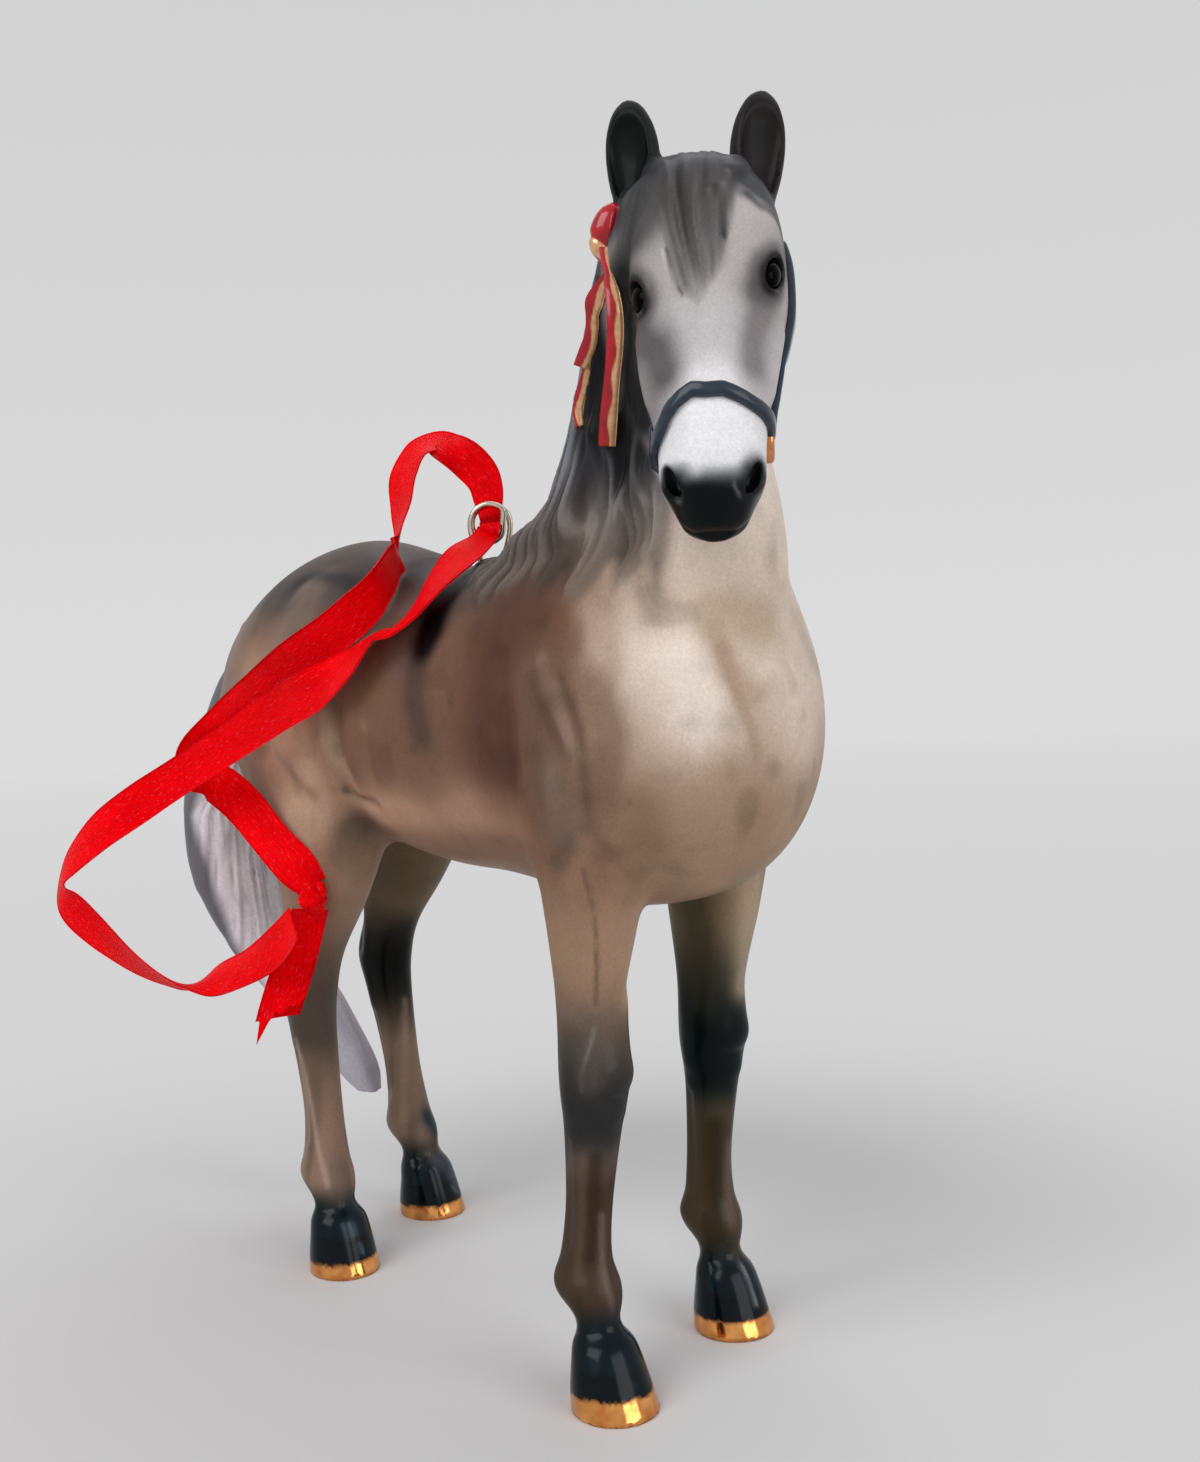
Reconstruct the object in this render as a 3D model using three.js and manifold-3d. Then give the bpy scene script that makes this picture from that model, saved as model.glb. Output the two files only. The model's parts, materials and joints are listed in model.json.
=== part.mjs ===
// A small porcelain horse ornament: slip-cast pieces luted together, a wire eye
// in the withers and a satin ribbon tied through it.
// Millimetres, +Z up. The horse faces -Y and its left side is +X. The soles
// stand on z = 0, under the middle of the figure.
import * as THREE from "three";
import { mergeVertices } from "three/addons/utils/BufferGeometryUtils.js";
import Module from "manifold-3d";

const wasm = await Module();
wasm.setup();

// Castings
const WALL = 1.8; // porcelain wall of the hollow trunk
const LUTE_GAP = 0.3; // slip line between two castings
const FORELEG_JOINT_Z = 29.5; // where a foreleg is luted to the trunk
const HINDLEG_JOINT_Z = 31; // where a hind leg is luted to the trunk
const NECK_JOINT_Z = 56.5; // where the neck is luted to the trunk
const CAVITY_BOTTOM_Z = 35; // the slip drained no lower than this
const POLL_AT = [-1.9, -22.6, 77.9]; // top of the head, where its own frame starts
const HEAD_TURN = THREE.MathUtils.degToRad(-46.4); // to the horse's right
const FACE_TILT = THREE.MathUtils.degToRad(21.5); // forward of hanging straight down

// Ears
const EAR_WALL = 0.55;
const EAR_SIDE = 3.7; // of the ears' roots from the middle of the head
const EAR_BACK = -5;
const EAR_ALONG = -1.7;
const EAR_LEAN = 0.16; // sideways and forward, for each length upwards
const EAR_TWIST = 0.4; // how far the cups look sideways
const EAR_CUP = 0.8; // how far the hollow lies forward of the leaf

// Halter
const STRAP_WIDTH = 1;
const STRAP_THICKNESS = 0.5;
const NOSEBAND_ALONG = 16.4; // down the face, from the poll
const RING_RADIUS = 0.85;
const RING_HEIGHT = 0.98; // half of it, down the face
const RING_RISE = 0.8; // half of its thickness
const RING_STAND = 0.2; // its middle lies this far off the head's skin
const RING_BEHIND = 1.4; // and this far behind the head's middle line
const CROWN_OUT = -7.2; // where the crown strap lies behind the ears
const CROWN_ALONG = 2; // where it meets the cheek straps
const CROWN_TOP = -6; // over the poll
const CHEEK_START = 0.5; // a cheek strap keeps this far from the middle of the head

// Mane, forelock and their moulded ribbon
const FORELOCK_THICKNESS = 0.6;
const FORELOCK_BACK = -5.6; // it starts this far back on the head
const MANE_THICKNESS = 1.4;
const MANE_EDGE = 1.6; // how far it lies over to the left of the crest
const MANE_BOW_AT = [-3.1, -15.7, 75.6];
const MANE_BOW_SIZE = [1.3, 1.5, 1.4]; // half of its width, depth and height
const STREAMER_THICKNESS = 0.7;
const STREAMER_LONG_WIDTH = 1.9;
const STREAMER_SHORT_WIDTH = 1.46;

// Bow on the tail
const TAIL_BOW_AT = [0, 34.4, 52.6];
const TAIL_BOW_LOBE = [2, 0.9, 1.3]; // half of its width, depth and height
const TAIL_BOW_MIDDLE = [0.9, 1, 1];
const TAIL_BOW_SPREAD = 1.9; // of a lobe's middle from the bow's
const TAIL_BOW_DROP = 0.2;
const TAIL_BOW_TILT = THREE.MathUtils.degToRad(26.5);

// Hanger
const EYE_WIRE = 0.23; // radius of the wire
const EYE_RADIUS = 1.42; // of its ring, to the middle of the wire
const EYE_HEIGHT = 3.2; // middle of the ring over the top of the plug
const EYE_TURN = THREE.MathUtils.degToRad(-41); // the ring faces half right
const COIL_STEP = 0.3; // each turn of the eye lies this far off its middle
const LEG_DEPTH = 2; // how deep the wire's legs sit in the plug
const LEG_CLEARANCE = 0.1;
const PLUG_RADIUS = 1.45;
const PLUG_LENGTH = 2.6;
const PLUG_Y = 2.3; // the plug's place behind the withers
const PLUG_TOP_Z = 55.2;

// Satin ribbon
const RIBBON_WIDTH = 3.2; // 1/8 inch
const RIBBON_THICKNESS = 0.3;
const KNOT_AT = [-9.5, 14.5, 30.7];
const KNOT_SIZE = [1.3, 1.2, 1.4]; // half of its width, depth and height

// How finely the forms are cut
const BODY_SIDES = 20;
const LEG_SIDES = 12;
const TAIL_SIDES = 16;
const EAR_SIDES = 10;
const LUMP_SIDES = 12;
const COIL_STEPS = 44;
const WIRE_SIDES = 4;
const TAIL_END_STEPS = 4; // of the ribbon's ends, between two of their stations
const ROW_STEP = 0.01; // how finely a table is searched
const REACH = 20; // past anything on the head or neck
const FAR = 200; // past the whole part

const V3 = (x, y, z) => new THREE.Vector3(x, y, z);
const X = V3(1, 0, 0);
const Y = V3(0, 1, 0);
const Z = V3(0, 0, 1);
const FORWARD = V3(0, -1, 0);

// Each table of rings holds stations of
// [place along the axis, sideways, forward or up, half width, half front, half back, turn in degrees].
// Trunk, from the breast to the buttocks: along +Y, front is up and back is down.
const TRUNK = [
  [-24.5, 0.8, 43.4, 1.8, 3, 3],
  [-23.8, 0.8, 43.4, 4.6, 6.2, 6.2],
  [-22.2, 0.7, 43.5, 7.6, 9, 9.2],
  [-19, 0.4, 43.6, 9.6, 10.8, 11.4],
  [-13, 0.1, 43.8, 9.9, 12, 12.7],
  [-7, 0, 44, 9.4, 11.8, 12.2],
  [-1, 0, 44, 9.2, 11.2, 11.5],
  [5, 0, 44.2, 9.6, 11.2, 11.4],
  [11, 0, 45, 9.8, 12.2, 11.2],
  [17, 0, 46.4, 9.9, 12.2, 10.8],
  [23.5, 0, 46.8, 9.6, 11, 9.6],
  [29.5, 0, 46.4, 8.2, 8.8, 8.6],
  [33.6, 0, 45.6, 5.8, 6.4, 6.4],
  [35.6, 0, 45.2, 2.4, 2.8, 3.2],
];
// Neck, upwards: front is the throat and back is the crest.
const NECK = [
  [46, 0, 12, 8.6, 11.6, 9, 0],
  [50, 0.2, 12.6, 7.8, 12, 9.2, 0],
  [54, 0.4, 13.6, 6.2, 11.6, 9, 0],
  [58, 0.6, 14.8, 5, 10.4, 6.3, -4],
  [62, 0.8, 15.8, 4.3, 8.6, 5.8, -10],
  [66, 0.9, 16.4, 3.9, 7, 5.5, -18],
  [70, 1, 17, 3.7, 5.6, 5.1, -26],
  [74, 1.2, 17.6, 3.4, 4.4, 4.3, -34],
  [77, 1.4, 18.4, 2.5, 3, 3, -40],
  [78.2, 1.5, 18.8, 1.2, 1.5, 1.4, -40],
];
// Head, down the face: front is the nose side and back is the jaw side.
const HEAD = [
  [-2.9, 0, -5.2, 1.6, 1.4, 1.6],
  [-2.2, 0, -5.2, 2.9, 2.5, 3],
  [-0.6, 0, -5.2, 4.2, 4, 4.6],
  [1.8, 0, -5.2, 4.9, 4.8, 5.4],
  [4.6, 0, -5.2, 5.1, 5.2, 6.2],
  [7.6, 0, -5.2, 5.05, 5.2, 6.6],
  [10.2, 0, -4.9, 4.65, 5, 6],
  [12.8, 0, -4.4, 4.15, 4.5, 4.9],
  [15.2, 0, -3.8, 3.65, 4, 3.9],
  [17.6, 0, -3.4, 3.3, 3.5, 3.2],
  [20, 0, -3.2, 3.1, 3.1, 2.7],
  [21.8, 0, -3.2, 2.95, 2.6, 2.5],
  [23, 0, -3.4, 2.3, 1.8, 1.9],
  [23.7, 0, -3.6, 1, 0.8, 0.9],
];
// Legs, from inside the trunk down to the sole.
const FORELEG_RIGHT = [
  [40, -5.6, 14.2, 3.6, 5.4, 5.4],
  [35, -5.5, 13.8, 3, 4.6, 4.6],
  [30, -5.4, 13.4, 2.45, 3.6, 3.6],
  [25, -5.5, 13.2, 2.1, 2.7, 2.7],
  [20.8, -5.8, 13.5, 2.3, 2.5, 2.4],
  [17.4, -5.9, 13.2, 1.9, 2, 1.9],
  [12.5, -6.3, 13, 1.4, 1.7, 1.7],
  [9.2, -6.7, 13, 1.5, 1.8, 1.9],
  [7.2, -6.9, 13.4, 2, 2.1, 2.3],
  [5, -7, 14.2, 1.6, 1.7, 1.7],
  [3.6, -7.1, 14.8, 2.2, 2.1, 2.1],
  [0, -7.2, 15.7, 2.8, 3, 2.7],
];
const FORELEG_LEFT = [
  [40, 6.6, 13.2, 3.6, 5.4, 5.4],
  [35, 6.9, 12.8, 3.2, 4.6, 4.6],
  [30, 7.2, 12.2, 2.7, 3.7, 3.7],
  [25, 7.3, 11.6, 2.2, 2.7, 2.7],
  [20.8, 7.3, 11.5, 2.4, 2.5, 2.4],
  [17.4, 7.3, 11.2, 1.9, 2, 1.9],
  [12.5, 7.1, 10.9, 1.5, 1.7, 1.7],
  [9.4, 7, 10.9, 1.6, 1.8, 1.9],
  [7.5, 6.9, 11.2, 2, 2.1, 2.3],
  [5.2, 6.8, 11.8, 1.7, 1.7, 1.7],
  [3.7, 6.8, 12.3, 2.2, 2.1, 2.1],
  [0, 6.7, 13, 2.8, 3, 2.7],
];
const HINDLEG_RIGHT = [
  [46, -4.8, -21, 4.6, 9, 11],
  [40, -5.2, -19.6, 4.4, 8.8, 10],
  [35, -5.5, -18.6, 3.7, 7, 8],
  [30, -5.7, -18.8, 2.8, 4.6, 5.2],
  [25.4, -5.9, -20.6, 2.2, 3, 3],
  [22, -5.9, -21.6, 2.1, 2.5, 2.9],
  [18.8, -5.9, -21.4, 1.8, 2.1, 2.2],
  [13, -6, -20.4, 1.5, 1.8, 1.8],
  [9.2, -6.2, -19.8, 1.7, 1.9, 2],
  [7.2, -6.3, -19.4, 2, 2.1, 2.3],
  [5.2, -6.4, -18.6, 1.8, 1.8, 1.8],
  [3.8, -6.4, -18.1, 2.3, 2.2, 2.2],
  [0, -6.4, -17.4, 2.7, 2.9, 2.7],
];
const HINDLEG_LEFT = [
  [46, 4.8, -23, 4.6, 9, 10],
  [40, 5.1, -22.6, 4.4, 8.8, 9.4],
  [35, 5.3, -22.8, 3.7, 7.6, 7],
  [30, 5.3, -24.2, 2.9, 5, 4.6],
  [25.9, 5.4, -26.4, 2.3, 3.1, 3],
  [22.7, 5.4, -27.4, 2.2, 2.6, 2.9],
  [19.4, 5.4, -27, 1.9, 2.1, 2.2],
  [13.5, 5.3, -25.6, 1.5, 1.8, 1.8],
  [9.5, 5.4, -24.9, 1.7, 1.9, 2],
  [7.5, 5.5, -24.5, 2, 2.1, 2.3],
  [5.4, 5.8, -24, 1.8, 1.8, 1.8],
  [3.8, 6, -23.5, 2.3, 2.2, 2.2],
  [0, 6.3, -23, 2.7, 2.9, 2.7],
];
// Tail, down from the dock.
const TAIL = [
  [53, 0, -33, 1, 1.2, 1],
  [51.6, -0.5, -34.6, 2, 2.2, 1.8],
  [48, -1.8, -36.4, 2.7, 2.4, 2.1],
  [42, -3.2, -37.4, 3.4, 2.5, 2.5],
  [36, -4.2, -37.4, 4, 2.6, 2.7],
  [30, -3.8, -36.6, 4.1, 2.6, 2.7],
  [24, -2, -34.8, 3.7, 2.4, 2.5],
  [18, 0.8, -32.2, 2.9, 2.1, 2.1],
  [13, 3, -30, 2, 1.7, 1.7],
  [10.4, 3.9, -29, 1, 1, 1],
];
// Leaf of an ear, from its root to its tip.
const EAR = [
  [-1.4, 0, 0, 1.3, 1.2, 1.2],
  [0.6, 0, 0, 1.7, 1.4, 1.2],
  [2.6, 0, 0, 1.85, 1.3, 1.1],
  [4.2, 0, 0.1, 1.55, 1, 0.9],
  [5.4, 0, 0.2, 1, 0.7, 0.6],
  [6.1, 0, 0.25, 0.4, 0.3, 0.3],
];

// The mane seen from the side: (y, z).
const MANE_OUTLINE = [
  [-20.5, 80],
  [-20, 74],
  [-18, 68],
  [-17.2, 62.5],
  [-14, 59.5],
  [-11.5, 57.6],
  [-4, 57.2],
  [2, 58],
  [2, 66],
  [-6, 76],
  [-14, 82],
];
// The forelock seen from the front of the face: (sideways, down).
const FORELOCK = [
  [-2.6, -4.6],
  [-3, -1],
  [-2.6, 2.4],
  [-1.2, 6],
  [-0.2, 10.2],
  [0.6, 7.4],
  [1.3, 3],
  [2, -1],
  [1.6, -4.6],
];
// The wire eye's turns: right and up of its middle in ring radii, and forward in coil steps.
const EYE_ROUTE = [
  [-0.85, -0.99, 0.9],
  [-1, 0, 1],
  [-0.7, 0.7, 1],
  [0, 1, 1],
  [0.7, 0.7, 1],
  [0.7, 0, 0.8],
  [0.56, -0.63, 0.3],
  [0, -0.95, -0.3],
  [-0.67, -0.7, -0.8],
  [-0.95, 0, -1],
  [-0.7, 0.7, -1],
  [0.07, 1.02, -1],
  [0.85, 0.63, -1],
  [1.06, -0.07, -1],
  [0.85, -1.2, -0.8],
];
const EYE_LEGS = [-0.47, 0.41]; // its two legs, right of its middle in ring radii

// Bands: stations of [x, y, z of the middle, and a vector from there to the edge in half widths].
const STREAMER_LONG = [
  [-3.8, -16.1, 74.3, 0.32, -0.95, 0],
  [-4.1, -16.2, 72.3, 0.32, -0.95, 0],
  [-4.4, -16.2, 70.4, 0.32, -0.95, 0],
  [-4.7, -16.3, 68.1, 0.32, -0.95, 0],
  [-5, -16.4, 65.7, 0.32, -0.95, 0],
  [-5.3, -17.1, 63.8, 0.32, -0.95, 0],
  [-5.4, -17.5, 62.2, 0.32, -0.95, 0],
  [-5.1, -16.8, 61, 0.32, -0.95, 0],
];
const STREAMER_SHORT = [
  [-3, -14.4, 73.8, 0.27, -0.96, 0],
  [-3.1, -14.1, 71.9, 0.27, -0.96, 0],
  [-3.4, -13.9, 69.7, 0.27, -0.96, 0],
  [-3.7, -13.7, 67.4, 0.27, -0.96, 0],
  [-3.8, -13.4, 65.2, 0.27, -0.96, 0],
  [-3.8, -13, 63.4, 0.27, -0.96, 0],
];
// One length from the knot up to the eye and down to the knot again.
const RIBBON_LOOP = [
  [-9.5, 14.7, 31.6, 0.87, 0.25, 0.37],
  [-10, 15.9, 33, 0.81, -0.25, 0.56],
  [-10.6, 18.3, 35, 0.56, -0.5, 0.62],
  [-11.3, 21.2, 37.7, 0.56, -0.5, 0.69],
  [-12.4, 23.3, 39.5, 0.56, -0.44, 0.69],
  [-13.2, 24.3, 39.8, 1, 0.06, 0.12],
  [-13.8, 24.8, 41.1, 0.81, 0.37, -0.44],
  [-13.4, 23.8, 42.6, 0.75, 0.25, -0.62],
  [-12.4, 20.9, 44.6, 0.44, -0.37, -0.81],
  [-11.7, 16.9, 46.8, 0.5, -0.25, -0.81],
  [-11.1, 12.7, 48.9, 0.56, -0.06, -0.81],
  [-9.9, 8.5, 50.9, 0.56, -0.06, -0.81],
  [-8.5, 5.4, 53.3, 0.75, 0.25, -0.62],
  [-5.7, 6.5, 55.9, 0.81, 0.62, -0.12],
  [-5.1, 7.1, 56.8, 0.62, 0.81, 0],
  [-4.6, 7.5, 58.1, 0.44, 0.87, 0.06],
  [-4, 7.9, 60.2, 0.19, 0.94, 0.31],
  [-3.4, 8.3, 62.6, 0.06, 0.94, 0.37],
  [-2.3, 8.1, 64.5, 0.37, 0.75, 0.56],
  [-0.9, 7.5, 65.2, 0.69, 0.37, 0.56],
  [-0.3, 6.6, 64.7, 0.69, 0.12, 0.69],
  [0.4, 5.3, 63.6, 0.19, -0.62, 0.69],
  [0.8, 4, 62.2, 0.37, -0.62, 0.5],
  [0.9, 3.5, 60.7, 0.37, -0.69, 0.12],
  [0.6, 3, 58.8, 0.37, -0.31, 0],
  [0, 2.3, 58.4, 0.37, -0.31, 0],
  [-0.6, 1.6, 57.9, 0.37, -0.31, 0],
  [-1.1, 1.8, 57.2, 0.19, -0.62, -0.19],
  [-4.1, 0.8, 55.6, -0.12, -0.75, -0.44],
  [-6.8, 0.6, 53.3, -0.31, -0.81, -0.31],
  [-8, 1.8, 51.4, -0.5, -0.87, -0.19],
  [-8.9, 2.7, 50.5, -0.56, -0.81, -0.19],
  [-9.4, 3.7, 50.2, -0.62, -0.75, -0.19],
  [-9.9, 5.1, 49.3, -0.5, -0.81, -0.37],
  [-10.7, 6.9, 47.9, -0.25, -0.75, -0.62],
  [-11.6, 9.8, 46.6, 0.31, -0.31, -0.94],
  [-12.4, 13.4, 45.2, 0.31, -0.31, -0.94],
  [-13.8, 18.3, 42.9, 0.31, -0.31, -0.87],
  [-15.6, 22.5, 40.6, 0.19, -0.5, -0.81],
  [-17.9, 26.3, 38.2, 0.31, -0.31, -0.87],
  [-19.9, 28.9, 36.1, 0.06, -0.69, -0.75],
  [-21.6, 30.8, 33.7, -0.19, -0.87, -0.44],
  [-22.2, 31.4, 32, -0.25, -0.94, 0.19],
  [-21.8, 30.9, 30.3, 0.12, -0.75, 0.62],
  [-20.4, 29.5, 28.1, 0.12, -0.75, 0.62],
  [-18.7, 27.6, 25.9, -0.19, -0.81, 0.56],
  [-17, 25.7, 24.3, -0.44, -0.75, 0.44],
  [-15.7, 24.1, 23.6, -0.62, -0.69, 0.31],
  [-14.2, 22.1, 24.1, -0.5, -0.69, -0.56],
  [-13.1, 19.1, 25.2, -0.31, -0.56, -0.75],
  [-12.3, 16, 26.9, -0.12, -0.5, -0.87],
  [-11.6, 13.9, 29, -0.25, -0.69, -0.69],
];
const RIBBON_TAIL_FRONT = [
  [-9.6, 14.7, 29.7, 0.92, -0.2, 0],
  [-9.8, 15.6, 28, 0.88, -0.42, -0.06],
  [-10.5, 15.9, 25.6, 0.8, -0.6, -0.06],
  [-11.5, 16.3, 22.7, 0.76, -0.66, -0.06],
  [-12, 16.4, 21.2, 0.75, -0.66, 0],
];
const RIBBON_TAIL_BACK = [
  [-9.3, 16.1, 28.9, 0.92, -0.2, 0],
  [-9.5, 16.9, 27.1, 0.88, -0.42, -0.06],
  [-10, 17.2, 24.7, 0.8, -0.6, -0.06],
  [-11, 17.6, 21.9, 0.76, -0.66, -0.06],
  [-11.5, 17.7, 20.4, 0.75, -0.66, 0],
];

// The head's own axes: sideways to its left, down the face, and out of it
const turned = (v) => v.applyAxisAngle(Z, HEAD_TURN);
const HEAD_SIDE = turned(X.clone());
const HEAD_DOWN = turned(V3(0, -Math.sin(FACE_TILT), -Math.cos(FACE_TILT)));
const HEAD_OUT = turned(V3(0, -Math.cos(FACE_TILT), Math.sin(FACE_TILT)));
const POLL = V3(...POLL_AT);
const ORIGIN = V3(0, 0, 0);

const UPRIGHT = { origin: ORIGIN, side: X, front: FORWARD, along: Z };
const LENGTHWISE = { origin: ORIGIN, side: X, front: Z, along: Y };
const SIDEWAYS = { origin: ORIGIN, side: Y, front: X, along: Z };
const FACE = { origin: POLL, side: HEAD_SIDE, front: HEAD_OUT, along: HEAD_DOWN };
const PROFILE = { origin: POLL, side: HEAD_OUT, front: HEAD_SIDE, along: HEAD_DOWN };

// A point of a frame, from its sideways, front and along coordinates.
function pointIn(frame, side, front, along) {
  return frame.origin
    .clone()
    .addScaledVector(frame.side, side)
    .addScaledVector(frame.front, front)
    .addScaledVector(frame.along, along);
}

// Catmull-Rom through the rows of a table, at t from 0 to its last row.
function rowAt(table, t) {
  const last = table.length - 1;
  const i = Math.min(Math.floor(t), last - 1);
  const row = (j) => table[THREE.MathUtils.clamp(j, 0, last)];
  return row(i).map((_, c) =>
    catmullRom(t - i, row(i - 1)[c], row(i)[c], row(i + 1)[c], row(i + 2)[c]),
  );
}

function catmullRom(f, a, b, c, d) {
  const m0 = (c - a) / 2;
  const m1 = (d - b) / 2;
  return (
    (2 * f ** 3 - 3 * f ** 2 + 1) * b +
    (f ** 3 - 2 * f ** 2 + f) * m0 +
    (3 * f ** 2 - 2 * f ** 3) * c +
    (f ** 3 - f ** 2) * m1
  );
}

// A closed surface through rings of points, with a fan over each end.
function skinOf(rings) {
  const sides = rings[0].length;
  const points = rings.flat();
  const ends = [rings[0], rings[rings.length - 1]].map((ring) => {
    const middle = V3(0, 0, 0);
    for (const p of ring) middle.addScaledVector(p, 1 / sides);
    points.push(middle);
    return points.length - 1;
  });
  const faces = [];
  for (let r = 0; r < rings.length - 1; r++)
    for (let k = 0; k < sides; k++) {
      const a = r * sides + k;
      const b = r * sides + ((k + 1) % sides);
      faces.push(a, b, b + sides, a, b + sides, a + sides);
    }
  const lastRow = (rings.length - 1) * sides;
  for (let k = 0; k < sides; k++) {
    const next = (k + 1) % sides;
    faces.push(ends[0], next, k);
    faces.push(ends[1], lastRow + k, lastRow + next);
  }
  let volume = 0;
  for (let i = 0; i < faces.length; i += 3) {
    const [a, b, c] = [points[faces[i]], points[faces[i + 1]], points[faces[i + 2]]];
    volume += a.dot(b.clone().cross(c));
  }
  if (volume < 0) faces.reverse();
  const geometry = new THREE.BufferGeometry().setFromPoints(points);
  return geometry.setIndex(faces);
}

// The smooth form through a table's rings, grown all round by some millimetres.
function form(frame, table, sides, { steps = 2, grow = 0 } = {}) {
  const count = (table.length - 1) * steps;
  const rings = [];
  for (let i = 0; i <= count; i++) {
    const row = rowAt(table, i / steps);
    const [along, side, front, width, fore, back, turn = 0] = row;
    const away = Math.sign(table[table.length - 1][0] - table[0][0]);
    const reach = i === 0 ? -grow : i === count ? grow : 0;
    const spin = THREE.MathUtils.degToRad(turn);
    const ring = [];
    for (let j = 0; j < sides; j++) {
      const angle = (2 * Math.PI * j) / sides;
      const u = (width + grow) * Math.cos(angle);
      const v = ((Math.sin(angle) > 0 ? fore : back) + grow) * Math.sin(angle);
      ring.push(
        pointIn(
          frame,
          side + u * Math.cos(spin) + v * Math.sin(spin),
          front - u * Math.sin(spin) + v * Math.cos(spin),
          along + away * reach,
        ),
      );
    }
    rings.push(ring);
  }
  return solidOf(skinOf(rings));
}

function solidOf(geometry) {
  geometry.deleteAttribute("normal");
  geometry.deleteAttribute("uv");
  const merged = mergeVertices(geometry, 1e-4);
  return new wasm.Manifold(
    new wasm.Mesh({
      numProp: 3,
      vertProperties: new Float32Array(merged.attributes.position.array),
      triVerts: new Uint32Array(merged.index.array),
    }),
  );
}

// The largest single body of a solid: a cut can leave crumbs.
function largest(solid) {
  return solid.decompose().sort((a, b) => b.volume() - a.volume())[0];
}

function geometryOf(solid) {
  const mesh = solid.getMesh();
  const geometry = new THREE.BufferGeometry();
  geometry.setAttribute("position", new THREE.BufferAttribute(mesh.vertProperties, 3));
  geometry.setIndex(new THREE.BufferAttribute(mesh.triVerts, 1));
  geometry.computeVertexNormals();
  return geometry;
}

// A block with its corners given.
function block(low, high) {
  const size = high.clone().sub(low);
  const middle = high.clone().add(low).multiplyScalar(0.5);
  const box = new THREE.BoxGeometry(size.x, size.y, size.z);
  return solidOf(box.translate(middle.x, middle.y, middle.z));
}

const above = (z) => block(V3(-FAR, -FAR, z), V3(FAR, FAR, FAR));
const below = (z) => block(V3(-FAR, -FAR, -FAR), V3(FAR, FAR, z));

// A prism in a frame: an outline in its (side, along) plane, run along its front axis.
function prism(frame, outline, from, to) {
  const basis = new THREE.Matrix4().makeBasis(frame.side, frame.along, frame.front);
  const hand = Math.sign(basis.determinant());
  basis.scale(V3(hand, 1, 1)).setPosition(frame.origin);
  const shape = new THREE.Shape(outline.map(([a, b]) => new THREE.Vector2(a * hand, b)));
  const geometry = new THREE.ExtrudeGeometry(shape, { depth: to - from, bevelEnabled: false });
  return solidOf(geometry.translate(0, 0, from).applyMatrix4(basis));
}

// An outline with each point moved some millimetres away from its middle.
function spread(outline, by) {
  const count = outline.length;
  const middle = [0, 1].map((c) => outline.reduce((sum, point) => sum + point[c], 0) / count);
  return outline.map(([a, b]) => {
    const away = new THREE.Vector2(a - middle[0], b - middle[1]).setLength(by);
    return [a + away.x, b + away.y];
  });
}

// A flat band of some width and thickness through the stations of a table.
function band(table, width, thickness, steps = 2) {
  const count = (table.length - 1) * steps;
  const stations = [];
  for (let i = 0; i <= count; i++) {
    const [x, y, z, ex, ey, ez] = rowAt(table, i / steps);
    stations.push({ middle: V3(x, y, z), edge: V3(ex, ey, ez).multiplyScalar(width / 2) });
  }
  const rings = stations.map(({ middle, edge }, i) => {
    const before = stations[Math.max(i - 1, 0)].middle;
    const after = stations[Math.min(i + 1, count)].middle;
    const run = after.clone().sub(before).normalize();
    const half = edge.clone().addScaledVector(run, -edge.dot(run));
    half.setLength(edge.length());
    const face = run.clone().cross(half).setLength(thickness / 2);
    const at = (a, b) => middle.clone().addScaledVector(half, a).addScaledVector(face, b);
    return [at(-1, -1), at(1, -1), at(1, 1), at(-1, 1)];
  });
  return solidOf(skinOf(rings));
}

// A rounded lump: a sphere squashed along its frame's axes.
function lump(frame, [side, front, along], grow = 0) {
  const ball = new THREE.SphereGeometry(1, LUMP_SIDES, (LUMP_SIDES * 2) / 3);
  ball.scale(side + grow, along + grow, front + grow);
  const basis = new THREE.Matrix4().makeBasis(frame.side, frame.along, frame.front);
  const hand = Math.sign(basis.determinant());
  basis.scale(V3(hand, 1, 1)).setPosition(frame.origin);
  return solidOf(ball.applyMatrix4(basis));
}

// A round bar along a curve through points.
function bar(points, radius) {
  const path = new THREE.CatmullRomCurve3(points, false, "centripetal");
  const section = new THREE.Shape().absarc(0, 0, radius, 0, 2 * Math.PI);
  return solidOf(
    new THREE.ExtrudeGeometry(section, {
      steps: COIL_STEPS,
      extrudePath: path,
      curveSegments: WIRE_SIDES,
      bevelEnabled: false,
    }),
  );
}

// The head's ring at some length down the face.
function headRow(along) {
  let t = 0;
  while (rowAt(HEAD, t)[0] < along) t += ROW_STEP;
  const [, , front, width, , back] = rowAt(HEAD, t);
  return { front, width, back };
}

// A strap's outline in the head's profile, between two places (out, down the face).
function strapOutline([fromOut, from], [toOut, to]) {
  return [
    [fromOut - STRAP_WIDTH / 2, from],
    [fromOut + STRAP_WIDTH / 2, from],
    [toOut + STRAP_WIDTH / 2, to],
    [toOut - STRAP_WIDTH / 2, to],
  ];
}

// Materials
const paint = (colour, roughness, metalness = 0) =>
  new THREE.MeshStandardMaterial({ color: colour, roughness, metalness });
const COAT = paint(0x9a8474, 0.45);
const FACE_WHITE = paint(0xb9b4b0, 0.45);
const DARK_HAIR = paint(0x4a4747, 0.45);
const TAIL_GREY = paint(0xb4b2b8, 0.4);
const HALTER_SLATE = paint(0x2c3036, 0.25);
const CRIMSON = paint(0x8c0f1c, 0.15);
const LUSTRE = paint(0xc08a4a, 0.15, 1);
const WIRE_METAL = paint(0xb8aa96, 0.25, 1);
const CEMENT = paint(0x2a1a18, 0.8);
const SATIN = paint(0xd8000e, 0.4);

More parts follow.
